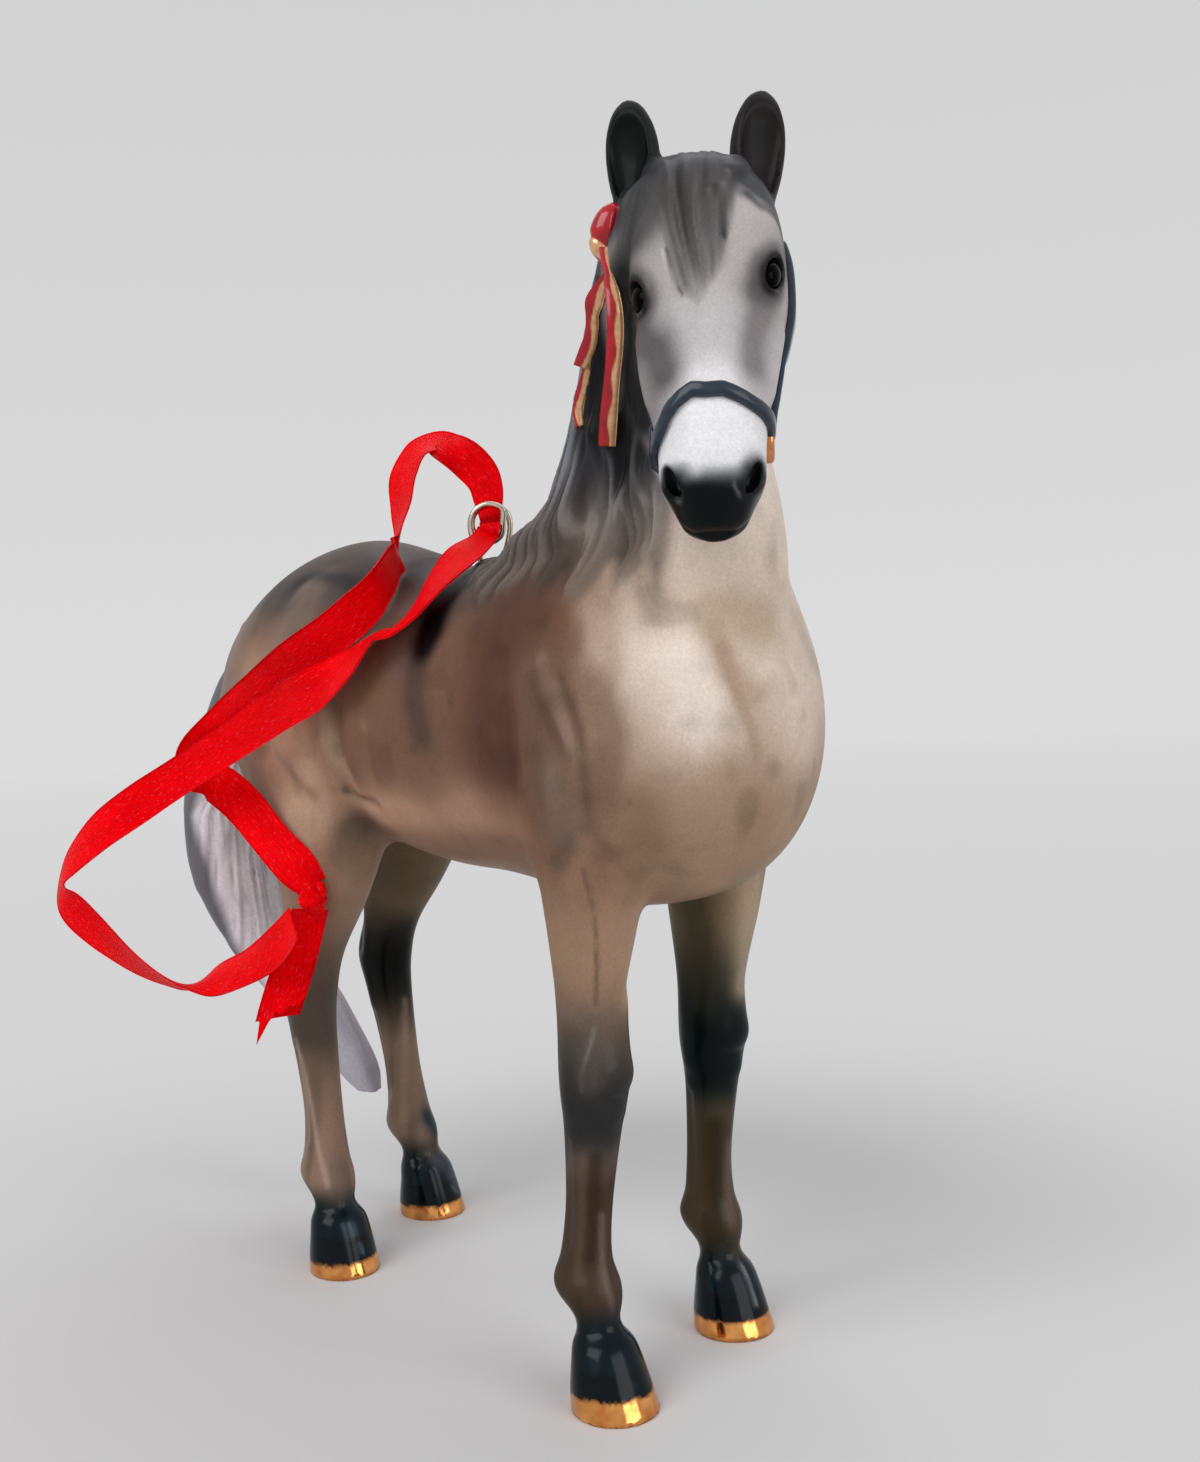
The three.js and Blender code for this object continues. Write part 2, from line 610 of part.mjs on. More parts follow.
const figure = new THREE.Group();
const ribbon = new THREE.Group();
function piece(group, name, solid, material) {
  const mesh = new THREE.Mesh(geometryOf(largest(solid)), material);
  mesh.name = name;
  group.add(mesh);
}

// Castings that the others are cut by
const clear = { grow: LUTE_GAP };
const trunkForm = form(LENGTHWISE, TRUNK, BODY_SIDES);
const trunkGrown = form(LENGTHWISE, TRUNK, BODY_SIDES, clear);
const neckForm = form(UPRIGHT, NECK, BODY_SIDES);
const neckGrown = form(UPRIGHT, NECK, BODY_SIDES, clear);
const headForm = form(FACE, HEAD, BODY_SIDES);
const headGrown = form(FACE, HEAD, BODY_SIDES, clear);

const LEGS = [
  { name: "foreleg_right", table: FORELEG_RIGHT, joint: FORELEG_JOINT_Z },
  { name: "foreleg_left", table: FORELEG_LEFT, joint: FORELEG_JOINT_Z },
  { name: "hindleg_right", table: HINDLEG_RIGHT, joint: HINDLEG_JOINT_Z },
  { name: "hindleg_left", table: HINDLEG_LEFT, joint: HINDLEG_JOINT_Z },
];

// Trunk: the outer form with the roots of neck and legs, less the slip's hollow
const plugHole = solidOf(
  new THREE.CylinderGeometry(PLUG_RADIUS + LUTE_GAP, PLUG_RADIUS + LUTE_GAP, FAR, BODY_SIDES)
    .rotateX(Math.PI / 2)
    .translate(0, PLUG_Y, PLUG_TOP_Z - PLUG_LENGTH - LUTE_GAP + FAR / 2),
);
let trunk = trunkForm.add(neckForm.subtract(above(NECK_JOINT_Z)));
for (const { table, joint } of LEGS)
  trunk = trunk.add(form(UPRIGHT, table, LEG_SIDES).subtract(below(joint)));
const hollow = form(LENGTHWISE, TRUNK, LEG_SIDES, { steps: 1, grow: -WALL });
trunk = trunk.subtract(hollow.subtract(below(CAVITY_BOTTOM_Z))).subtract(plugHole);
piece(figure, "body_casting", trunk, COAT);

const neck = neckForm.subtract(below(NECK_JOINT_Z + LUTE_GAP)).subtract(headGrown);
piece(figure, "neck_casting", neck, COAT);
piece(figure, "head_casting", headForm, FACE_WHITE);

for (const { name, table, joint } of LEGS) {
  const leg = form(UPRIGHT, table, LEG_SIDES).subtract(above(joint - LUTE_GAP));
  piece(figure, name, leg, COAT);
}

// The two sides of the head: the name's ending and its direction along HEAD_SIDE
const HANDS = [
  ["right", -1],
  ["left", 1],
];

// Ears: leaf-shaped cups on the poll
function earFrame(hand) {
  const origin = pointIn(FACE, hand * EAR_SIDE, EAR_BACK, EAR_ALONG);
  const along = HEAD_DOWN.clone().multiplyScalar(-1);
  along.addScaledVector(HEAD_SIDE, hand * EAR_LEAN).addScaledVector(HEAD_OUT, EAR_LEAN).normalize();
  const front = HEAD_OUT.clone().addScaledVector(HEAD_SIDE, hand * EAR_TWIST);
  front.addScaledVector(along, -front.dot(along)).normalize();
  return { origin, side: along.clone().cross(front), front, along };
}
for (const [side, hand] of HANDS) {
  const leaf = earFrame(hand);
  const cup = { ...leaf, origin: leaf.origin.clone().addScaledVector(leaf.front, EAR_CUP) };
  const scoop = form(cup, EAR, EAR_SIDES, { steps: 1, grow: -EAR_WALL });
  const shell = form(leaf, EAR, EAR_SIDES).subtract(scoop);
  piece(figure, `ear_${side}`, shell.subtract(headGrown), DARK_HAIR);
}
const earGrown = (hand) => form(earFrame(hand), EAR, EAR_SIDES, { steps: 1, grow: LUTE_GAP });
const earsGrown = earGrown(-1).add(earGrown(1));

// Mane: a lock over the crest that falls down the right side of the neck
const neckThick = form(UPRIGHT, NECK, BODY_SIDES, { grow: LUTE_GAP + MANE_THICKNESS });
const mane = neckThick
  .intersect(prism(SIDEWAYS, MANE_OUTLINE, -REACH, MANE_EDGE))
  .subtract(neckGrown)
  .subtract(trunkGrown)
  .subtract(headGrown)
  .subtract(earsGrown);
piece(figure, "mane_casting", mane, DARK_HAIR);

// Moulded ribbon down the mane: a rounded bow behind the ear and two streamers
const maneGrown = form(UPRIGHT, NECK, BODY_SIDES, { grow: 2 * LUTE_GAP + MANE_THICKNESS }).intersect(
  prism(SIDEWAYS, spread(MANE_OUTLINE, LUTE_GAP), -REACH, MANE_EDGE + LUTE_GAP),
);
const clearOfHead = (solid) => solid.subtract(maneGrown).subtract(headGrown).subtract(earsGrown);
const maneBow = { ...UPRIGHT, origin: V3(...MANE_BOW_AT) };
const maneBowGrown = lump(maneBow, MANE_BOW_SIZE, LUTE_GAP);
piece(figure, "mane_bow", clearOfHead(lump(maneBow, MANE_BOW_SIZE)), CRIMSON);
for (const [name, table, width] of [
  ["mane_streamer_long", STREAMER_LONG, STREAMER_LONG_WIDTH],
  ["mane_streamer_short", STREAMER_SHORT, STREAMER_SHORT_WIDTH],
]) {
  const streamer = clearOfHead(band(table, width, STREAMER_THICKNESS)).subtract(maneBowGrown);
  piece(figure, name, streamer, CRIMSON);
}

// Forelock: a pointed lock down the middle of the forehead
const lockForm = form(FACE, HEAD, BODY_SIDES, { grow: LUTE_GAP + FORELOCK_THICKNESS });
const forelock = clearOfHead(lockForm.intersect(prism(FACE, FORELOCK, FORELOCK_BACK, REACH)));
piece(figure, "forelock", forelock.subtract(neckGrown), DARK_HAIR);

// Halter: straps moulded on the head, with a ring at each end of the noseband
const strapForm = form(FACE, HEAD, BODY_SIDES, { grow: LUTE_GAP + STRAP_THICKNESS });
const noseRow = headRow(NOSEBAND_ALONG);
const ringOut = noseRow.front - RING_BEHIND;
const ringSide = noseRow.width * Math.sqrt(1 - (RING_BEHIND / noseRow.back) ** 2) + RING_STAND;
const boss = (hand, grow) =>
  lump(
    {
      origin: pointIn(FACE, hand * ringSide, ringOut, NOSEBAND_ALONG),
      side: HEAD_OUT,
      front: HEAD_SIDE.clone().multiplyScalar(hand),
      along: HEAD_DOWN,
    },
    [RING_RADIUS, RING_RISE, RING_HEIGHT],
    grow,
  );
const bossesGrown = boss(-1, LUTE_GAP).add(boss(1, LUTE_GAP));
for (const [side, hand] of HANDS)
  piece(figure, `halter_ring_${side}`, boss(hand, 0).subtract(headGrown), LUSTRE);

const noseTop = NOSEBAND_ALONG - STRAP_WIDTH / 2;
const noseBottom = NOSEBAND_ALONG + STRAP_WIDTH / 2;
const noseband = [
  [-REACH, noseTop],
  [REACH, noseTop],
  [REACH, noseBottom],
  [-REACH, noseBottom],
];
const aroundNose = strapForm.intersect(prism(FACE, noseband, -REACH, REACH));
piece(figure, "halter_noseband", aroundNose.subtract(headGrown).subtract(bossesGrown), HALTER_SLATE);

const cheekTop = [CROWN_OUT, CROWN_ALONG + LUTE_GAP];
const cheek = strapOutline(cheekTop, [ringOut, noseTop - LUTE_GAP]);
for (const [side, hand] of HANDS) {
  const [from, to] = hand > 0 ? [CHEEK_START, REACH] : [-REACH, -CHEEK_START];
  const strap = clearOfHead(strapForm.intersect(prism(PROFILE, cheek, from, to)))
    .subtract(neckGrown)
    .subtract(bossesGrown);
  piece(figure, `halter_cheek_strap_${side}`, strap, HALTER_SLATE);
}
const crown = strapOutline([CROWN_OUT, CROWN_TOP], [CROWN_OUT, CROWN_ALONG]);
const crownStrap = clearOfHead(strapForm.intersect(prism(PROFILE, crown, -REACH, REACH)));
piece(figure, "halter_crown_strap", crownStrap.subtract(neckGrown), HALTER_SLATE);

// Tail, hung from the dock, with a moulded bow on it
let tail = form(UPRIGHT, TAIL, TAIL_SIDES).subtract(trunkGrown);
for (const { table } of LEGS) tail = tail.subtract(form(UPRIGHT, table, LEG_SIDES, clear));
piece(figure, "tail_casting", tail, TAIL_GREY);

const bowPlace = V3(...TAIL_BOW_AT);
const lobe = (hand) =>
  lump(
    {
      origin: bowPlace.clone().add(V3(hand * TAIL_BOW_SPREAD, 0, -TAIL_BOW_DROP)),
      side: V3(Math.cos(TAIL_BOW_TILT), 0, -hand * Math.sin(TAIL_BOW_TILT)),
      front: FORWARD,
      along: V3(hand * Math.sin(TAIL_BOW_TILT), 0, Math.cos(TAIL_BOW_TILT)),
    },
    TAIL_BOW_LOBE,
  );
const tailBow = lobe(1)
  .add(lobe(-1))
  .add(lump({ ...UPRIGHT, origin: bowPlace }, TAIL_BOW_MIDDLE))
  .subtract(trunkGrown)
  .subtract(form(UPRIGHT, TAIL, TAIL_SIDES, clear));
piece(figure, "tail_bow", tailBow, CRIMSON);

// Hanger: a plug of cement in the withers and a wire eye with its legs in the plug
const eyeMiddle = V3(0, PLUG_Y, PLUG_TOP_Z + EYE_HEIGHT);
const eyeRight = X.clone().applyAxisAngle(Z, EYE_TURN);
const eyeFront = FORWARD.clone().applyAxisAngle(Z, EYE_TURN);
const eyePoint = (right, up, forward) =>
  eyeMiddle
    .clone()
    .addScaledVector(eyeRight, right * EYE_RADIUS)
    .addScaledVector(Z, up)
    .addScaledVector(eyeFront, forward * COIL_STEP);
const legOf = (right) => [
  eyePoint(right, -EYE_HEIGHT - LEG_DEPTH, 0),
  eyePoint(right, -EYE_HEIGHT, 0),
];
const route = [
  ...legOf(EYE_LEGS[0]),
  ...EYE_ROUTE.map(([right, up, forward]) => eyePoint(right, up * EYE_RADIUS, forward)),
  ...legOf(EYE_LEGS[1]).reverse(),
];
piece(figure, "hanger_wire", bar(route, EYE_WIRE), WIRE_METAL);
const plug = new THREE.CylinderGeometry(PLUG_RADIUS, PLUG_RADIUS, PLUG_LENGTH, BODY_SIDES)
  .rotateX(Math.PI / 2)
  .translate(0, PLUG_Y, PLUG_TOP_Z - PLUG_LENGTH / 2);
const wireGrown = bar(route, EYE_WIRE + LEG_CLEARANCE);
piece(figure, "hanger_plug", solidOf(plug).subtract(wireGrown), CEMENT);

// Satin ribbon: one length through the eye, its two ends tied by the right hind leg
const knotFrame = { ...UPRIGHT, origin: V3(...KNOT_AT) };
const knotGrown = lump(knotFrame, KNOT_SIZE, LUTE_GAP);
piece(ribbon, "ribbon_knot", lump(knotFrame, KNOT_SIZE), SATIN);
for (const [name, table, steps] of [
  ["ribbon_loop", RIBBON_LOOP, 2],
  ["ribbon_tail_front", RIBBON_TAIL_FRONT, TAIL_END_STEPS],
  ["ribbon_tail_back", RIBBON_TAIL_BACK, TAIL_END_STEPS],
])
  piece(ribbon, name, band(table, RIBBON_WIDTH, RIBBON_THICKNESS, steps).subtract(knotGrown), SATIN);

// Stand the figure over the origin: the ribbon hangs free, so it doesn't count
const box = new THREE.Box3().setFromObject(figure);
const middle = box.getCenter(V3(0, 0, 0));
figure.add(ribbon);
figure.traverse((node) => {
  if (node.isMesh) node.geometry.translate(-middle.x, -middle.y, -box.min.z);
});

export default figure;
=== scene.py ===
"""The looks of the porcelain pony ornament, built around its CAD frame."""

import json
import math

import bpy
import numpy as np
from mathutils import Matrix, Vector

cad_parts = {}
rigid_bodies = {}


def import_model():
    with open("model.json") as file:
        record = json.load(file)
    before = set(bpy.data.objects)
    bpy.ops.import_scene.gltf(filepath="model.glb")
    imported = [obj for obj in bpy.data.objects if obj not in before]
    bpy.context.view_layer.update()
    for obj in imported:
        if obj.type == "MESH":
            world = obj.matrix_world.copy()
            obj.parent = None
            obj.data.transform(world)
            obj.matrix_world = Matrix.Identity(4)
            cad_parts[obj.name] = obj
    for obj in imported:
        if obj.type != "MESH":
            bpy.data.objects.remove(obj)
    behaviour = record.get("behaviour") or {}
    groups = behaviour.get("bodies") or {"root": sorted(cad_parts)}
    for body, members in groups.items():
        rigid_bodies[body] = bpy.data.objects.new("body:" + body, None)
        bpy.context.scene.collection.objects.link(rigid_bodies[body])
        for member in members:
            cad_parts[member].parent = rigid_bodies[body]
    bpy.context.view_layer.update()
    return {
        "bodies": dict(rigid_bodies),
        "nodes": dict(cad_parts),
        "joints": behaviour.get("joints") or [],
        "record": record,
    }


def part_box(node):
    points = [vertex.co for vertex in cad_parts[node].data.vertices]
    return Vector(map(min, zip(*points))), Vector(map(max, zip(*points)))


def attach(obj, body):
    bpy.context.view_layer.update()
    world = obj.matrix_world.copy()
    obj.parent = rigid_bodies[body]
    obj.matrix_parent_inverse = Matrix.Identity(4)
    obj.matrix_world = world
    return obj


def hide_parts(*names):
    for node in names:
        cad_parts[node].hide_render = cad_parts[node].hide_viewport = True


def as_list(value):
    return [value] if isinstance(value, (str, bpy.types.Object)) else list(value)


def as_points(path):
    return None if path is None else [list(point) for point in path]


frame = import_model()

# Sizes below are in millimetres in the part's own frame: +Z up, the horse faces -Y and its left is +X.
# SHIFT takes them to the row frame. It is read off the hanger's plug, whose middle line stands at PLUG_XY.
MM_IN_M = 1000
PLUG_XY = (0, 2.3)
_low, _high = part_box("hanger_plug")
SHIFT = np.array([(_low[k] + _high[k]) / 2 * MM_IN_M - PLUG_XY[k] for k in (0, 1)] + [0.0])


def to_row(points):
    """Row-frame metres from the part's millimetres."""
    return (np.asarray(points, float) + SHIFT) / MM_IN_M


def add_object(name, data):
    thing = bpy.data.objects.new(name, data)
    bpy.context.scene.collection.objects.link(thing)
    return thing


# Camera
CAMERA_AT = (-69.2, -86.6, 46.2)
CAMERA_RIGHT = (0.7446, -0.6660, -0.0446)
CAMERA_UP = (0.0548, -0.0057, 0.9985)
CAMERA_AHEAD = (0.6653, 0.7459, -0.0323)
FOCAL_PX = 1500
PICTURE_HEIGHT_PX = 1462
SENSOR_MM = 36
CLIP_FROM_M, CLIP_TO_M = 0.005, 20


def make_camera():
    data = bpy.data.cameras.new("camera")
    data.sensor_fit = "VERTICAL"
    data.sensor_height = SENSOR_MM
    data.lens = FOCAL_PX / PICTURE_HEIGHT_PX * SENSOR_MM
    data.clip_start = CLIP_FROM_M
    data.clip_end = CLIP_TO_M
    camera = add_object("camera", data)
    turn = Matrix((CAMERA_RIGHT, CAMERA_UP, tuple(-a for a in CAMERA_AHEAD))).transposed()
    camera.matrix_world = Matrix.Translation(to_row(CAMERA_AT)) @ turn.to_4x4()
    bpy.context.scene.camera = camera


make_camera()
bpy.context.scene.view_settings.view_transform = "Standard"


# Tables of rings
# [along, sideways, forward or up, half width, half front, half back, turn in degrees]
# Trunk, along +Y: front is up and back is down.
TRUNK = [
    [-24.5, 0.8, 43.4, 1.8, 3, 3], [-23.8, 0.8, 43.4, 4.6, 6.2, 6.2], [-22.2, 0.7, 43.5, 7.6, 9, 9.2],
    [-19, 0.4, 43.6, 9.6, 10.8, 11.4], [-13, 0.1, 43.8, 9.9, 12, 12.7], [-7, 0, 44, 9.4, 11.8, 12.2],
    [-1, 0, 44, 9.2, 11.2, 11.5], [5, 0, 44.2, 9.6, 11.2, 11.4], [11, 0, 45, 9.8, 12.2, 11.2],
    [17, 0, 46.4, 9.9, 12.2, 10.8], [23.5, 0, 46.8, 9.6, 11, 9.6], [29.5, 0, 46.4, 8.2, 8.8, 8.6],
    [33.6, 0, 45.6, 5.8, 6.4, 6.4], [35.6, 0, 45.2, 2.4, 2.8, 3.2],
]
# Neck, upwards: front is the throat and back is the crest.
NECK = [
    [46, 0, 12, 8.6, 11.6, 9, 0], [50, 0.2, 12.6, 7.8, 12, 9.2, 0], [54, 0.4, 13.6, 6.2, 11.6, 9, 0],
    [58, 0.6, 14.8, 5, 10.4, 6.3, -4], [62, 0.8, 15.8, 4.3, 8.6, 5.8, -10],
    [66, 0.9, 16.4, 3.9, 7, 5.5, -18], [70, 1, 17, 3.7, 5.6, 5.1, -26],
    [74, 1.2, 17.6, 3.4, 4.4, 4.3, -34], [77, 1.4, 18.4, 2.5, 3, 3, -40],
    [78.2, 1.5, 18.8, 1.2, 1.5, 1.4, -40],
]
# Head, down the face from the poll: front is the nose side and back is the jaw side.
HEAD = [
    [-2.9, 0, -5.2, 1.6, 1.4, 1.6], [-2.2, 0, -5.2, 2.9, 2.5, 3], [-0.6, 0, -5.2, 4.2, 4, 4.6],
    [1.8, 0, -5.2, 4.9, 4.8, 5.4], [4.6, 0, -5.2, 5.1, 5.2, 6.2], [7.6, 0, -5.2, 5.05, 5.2, 6.6],
    [10.2, 0, -4.9, 4.65, 5, 6], [12.8, 0, -4.4, 4.15, 4.5, 4.9], [15.2, 0, -3.8, 3.65, 4, 3.9],
    [17.6, 0, -3.4, 3.3, 3.5, 3.2], [20, 0, -3.2, 3.1, 3.1, 2.7], [21.8, 0, -3.2, 2.95, 2.6, 2.5],
    [23, 0, -3.4, 2.3, 1.8, 1.9], [23.7, 0, -3.6, 1, 0.8, 0.9],
]
# Legs, from inside the trunk down to the sole.
FORELEG_RIGHT = [
    [40, -5.6, 14.2, 3.6, 5.4, 5.4], [35, -5.5, 13.8, 3, 4.6, 4.6], [30, -5.4, 13.4, 2.45, 3.6, 3.6],
    [25, -5.5, 13.2, 2.1, 2.7, 2.7], [20.8, -5.8, 13.5, 2.3, 2.5, 2.4], [17.4, -5.9, 13.2, 1.9, 2, 1.9],
    [12.5, -6.3, 13, 1.4, 1.7, 1.7], [9.2, -6.7, 13, 1.5, 1.8, 1.9], [7.2, -6.9, 13.4, 2, 2.1, 2.3],
    [5, -7, 14.2, 1.6, 1.7, 1.7], [3.6, -7.1, 14.8, 2.2, 2.1, 2.1], [0, -7.2, 15.7, 2.8, 3, 2.7],
]
FORELEG_LEFT = [
    [40, 6.6, 13.2, 3.6, 5.4, 5.4], [35, 6.9, 12.8, 3.2, 4.6, 4.6], [30, 7.2, 12.2, 2.7, 3.7, 3.7],
    [25, 7.3, 11.6, 2.2, 2.7, 2.7], [20.8, 7.3, 11.5, 2.4, 2.5, 2.4], [17.4, 7.3, 11.2, 1.9, 2, 1.9],
    [12.5, 7.1, 10.9, 1.5, 1.7, 1.7], [9.4, 7, 10.9, 1.6, 1.8, 1.9], [7.5, 6.9, 11.2, 2, 2.1, 2.3],
    [5.2, 6.8, 11.8, 1.7, 1.7, 1.7], [3.7, 6.8, 12.3, 2.2, 2.1, 2.1], [0, 6.7, 13, 2.8, 3, 2.7],
]
HINDLEG_RIGHT = [
    [46, -4.8, -21, 4.6, 9, 11], [40, -5.2, -19.6, 4.4, 8.8, 10], [35, -5.5, -18.6, 3.7, 7, 8],
    [30, -5.7, -18.8, 2.8, 4.6, 5.2], [25.4, -5.9, -20.6, 2.2, 3, 3], [22, -5.9, -21.6, 2.1, 2.5, 2.9],
    [18.8, -5.9, -21.4, 1.8, 2.1, 2.2], [13, -6, -20.4, 1.5, 1.8, 1.8], [9.2, -6.2, -19.8, 1.7, 1.9, 2],
    [7.2, -6.3, -19.4, 2, 2.1, 2.3], [5.2, -6.4, -18.6, 1.8, 1.8, 1.8], [3.8, -6.4, -18.1, 2.3, 2.2, 2.2],
    [0, -6.4, -17.4, 2.7, 2.9, 2.7],
]
HINDLEG_LEFT = [
    [46, 4.8, -23, 4.6, 9, 10], [40, 5.1, -22.6, 4.4, 8.8, 9.4], [35, 5.3, -22.8, 3.7, 7.6, 7],
    [30, 5.3, -24.2, 2.9, 5, 4.6], [25.9, 5.4, -26.4, 2.3, 3.1, 3], [22.7, 5.4, -27.4, 2.2, 2.6, 2.9],
    [19.4, 5.4, -27, 1.9, 2.1, 2.2], [13.5, 5.3, -25.6, 1.5, 1.8, 1.8], [9.5, 5.4, -24.9, 1.7, 1.9, 2],
    [7.5, 5.5, -24.5, 2, 2.1, 2.3], [5.4, 5.8, -24, 1.8, 1.8, 1.8], [3.8, 6, -23.5, 2.3, 2.2, 2.2],
    [0, 6.3, -23, 2.7, 2.9, 2.7],
]
# Tail, down from the dock.
TAIL = [
    [53, 0, -33, 1, 1.2, 1], [51.6, -0.5, -34.6, 2, 2.2, 1.8], [48, -1.8, -36.4, 2.7, 2.4, 2.1],
    [42, -3.2, -37.4, 3.4, 2.5, 2.5], [36, -4.2, -37.4, 4, 2.6, 2.7], [30, -3.8, -36.6, 4.1, 2.6, 2.7],
    [24, -2, -34.8, 3.7, 2.4, 2.5], [18, 0.8, -32.2, 2.9, 2.1, 2.1], [13, 3, -30, 2, 1.7, 1.7],
    [10.4, 3.9, -29, 1, 1, 1],
]
# Leaf of an ear, from its root to its tip.
EAR = [
    [-1.4, 0, 0, 1.3, 1.2, 1.2], [0.6, 0, 0, 1.7, 1.4, 1.2], [2.6, 0, 0, 1.85, 1.3, 1.1],
    [4.2, 0, 0.1, 1.7, 1, 0.9], [5.4, 0, 0.2, 1.3, 0.7, 0.6], [6.1, 0, 0.25, 0.85, 0.4, 0.4],
    [6.5, 0, 0.25, 0.3, 0.2, 0.2],
]

# The satin ribbon, [x, y, z of its middle, and the vector to its edge in half widths]: from the knot up its
# back strand to the hanger's eye, then down its front strand to the knot again.
RIBBON_WIDTH = 3.2
RIBBON_LOOP = [
    [-9.5, 14.7, 31.6, 0.87, 0.25, 0.37], [-10, 15.9, 33, 0.81, -0.25, 0.56],
    [-10.6, 18.3, 35, 0.56, -0.5, 0.62], [-11.3, 21.2, 37.7, 0.56, -0.5, 0.69],
    [-12.4, 23.3, 39.5, 0.56, -0.44, 0.69], [-13.2, 24.3, 39.8, 1, 0.06, 0.12],
    [-13.8, 24.8, 41.1, 0.81, 0.37, -0.44], [-13.4, 23.8, 42.6, 0.75, 0.25, -0.62],
    [-12.4, 20.9, 44.6, 0.44, -0.37, -0.81], [-11.7, 16.9, 46.8, 0.5, -0.25, -0.81],
    [-11.1, 12.7, 48.9, 0.56, -0.06, -0.81], [-9.9, 8.5, 50.9, 0.56, -0.06, -0.81],
    [-8.5, 5.4, 53.3, 0.75, 0.25, -0.62], [-5.7, 6.5, 55.9, 0.81, 0.62, -0.12],
    [-5.1, 7.1, 56.8, 0.62, 0.81, 0], [-4.6, 7.5, 58.1, 0.44, 0.87, 0.06],
    [-4, 7.9, 60.2, 0.19, 0.94, 0.31], [-3.4, 8.3, 62.6, 0.06, 0.94, 0.37],
    [-2.3, 8.1, 64.5, 0.37, 0.75, 0.56], [-0.9, 7.5, 65.2, 0.69, 0.37, 0.56],
    [-0.3, 6.6, 64.7, 0.69, 0.12, 0.69], [0.4, 5.3, 63.6, 0.19, -0.62, 0.69],
    [0.8, 4, 62.2, 0.37, -0.62, 0.5], [0.9, 3.5, 60.7, 0.37, -0.69, 0.12], [0.6, 3, 58.8, 0.37, -0.31, 0],
    [0, 2.3, 58.4, 0.37, -0.31, 0], [-0.6, 1.6, 57.9, 0.37, -0.31, 0],
    [-1.1, 1.8, 57.2, 0.19, -0.62, -0.19], [-4.1, 0.8, 55.6, -0.12, -0.75, -0.44],
    [-6.8, 0.6, 53.3, -0.31, -0.81, -0.31], [-8, 1.8, 51.4, -0.5, -0.87, -0.19],
    [-8.9, 2.7, 50.5, -0.56, -0.81, -0.19], [-9.4, 3.7, 50.2, -0.62, -0.75, -0.19],
    [-9.9, 5.1, 49.3, -0.5, -0.81, -0.37], [-10.7, 6.9, 47.9, -0.25, -0.75, -0.62],
    [-11.6, 9.8, 46.6, 0.31, -0.31, -0.94], [-12.4, 13.4, 45.2, 0.31, -0.31, -0.94],
    [-13.8, 18.3, 42.9, 0.31, -0.31, -0.87], [-15.6, 22.5, 40.6, 0.19, -0.5, -0.81],
    [-17.9, 26.3, 38.2, 0.31, -0.31, -0.87], [-19.9, 28.9, 36.1, 0.06, -0.69, -0.75],
    [-21.6, 30.8, 33.7, -0.19, -0.87, -0.44], [-22.2, 31.4, 32, -0.25, -0.94, 0.19],
    [-21.8, 30.9, 30.3, 0.12, -0.75, 0.62], [-20.4, 29.5, 28.1, 0.12, -0.75, 0.62],
    [-18.7, 27.6, 25.9, -0.19, -0.81, 0.56], [-17, 25.7, 24.3, -0.44, -0.75, 0.44],
    [-15.7, 24.1, 23.6, -0.62, -0.69, 0.31], [-14.2, 22.1, 24.1, -0.5, -0.69, -0.56],
    [-13.1, 19.1, 25.2, -0.31, -0.56, -0.75], [-12.3, 16, 26.9, -0.12, -0.5, -0.87],
    [-11.6, 13.9, 29, -0.25, -0.69, -0.69],
]
RIBBON_TAIL_FRONT = [
    [-9.6, 14.7, 29.7, 0.92, -0.2, 0], [-9.8, 15.6, 28, 0.88, -0.42, -0.06],
    [-10.5, 15.9, 25.6, 0.8, -0.6, -0.06], [-11.5, 16.3, 22.7, 0.76, -0.66, -0.06],
    [-12, 16.4, 21.2, 0.75, -0.66, 0], [-12.9, 16.8, 18.6, 0.75, -0.66, 0],
]
RIBBON_TAIL_BACK = [
    [-9.3, 16.1, 28.9, 0.92, -0.2, 0], [-9.5, 16.9, 27.1, 0.88, -0.42, -0.06],
    [-10, 17.2, 24.7, 0.8, -0.6, -0.06], [-11, 17.6, 21.9, 0.76, -0.66, -0.06],
    [-11.5, 17.7, 20.4, 0.75, -0.66, 0],
]


# Frames
def turned_z(vector, degrees):
    a = math.radians(degrees)
    x, y, z = vector
    return np.array([x * math.cos(a) - y * math.sin(a), x * math.sin(a) + y * math.cos(a), z])


HEAD_TURN = -46.4
FACE_TILT = math.radians(21.5)
POLL = np.array([-1.9, -22.6, 77.9])
SIDE = turned_z((1, 0, 0), HEAD_TURN)
DOWN = turned_z((0, -math.sin(FACE_TILT), -math.cos(FACE_TILT)), HEAD_TURN)
OUT = turned_z((0, -math.cos(FACE_TILT), math.sin(FACE_TILT)), HEAD_TURN)
# A frame is (origin, its side, front and along axes as rows).
UPRIGHT = (np.zeros(3), np.array([[1, 0, 0], [0, -1, 0], [0, 0, 1.0]]))
LENGTHWISE = (np.zeros(3), np.array([[1, 0, 0], [0, 0, 1.0], [0, 1, 0]]))
FACE = (POLL, np.stack([SIDE, OUT, DOWN]))


def in_frame(frame, points):
    return (points - frame[0]) @ frame[1].T


def on_face(side, down, out):
    """A point from its place on the head: sideways, down the face and out of it."""
    return POLL + SIDE * side + DOWN * down + OUT * out


# Distance fields
FAR = 6.0  # what a form says of any point farther off than this
STROKE_REACH = 2.6  # how many radii from its route a stroke ends
CORNERS = [(n & 1, n >> 1 & 1, n >> 2 & 1) for n in range(8)]  # of a cube
HASH_STEPS = np.array([73856093, 19349663, 83492791])
HASH_FACTORS = ((13, 1274126177), (15, 668265263))


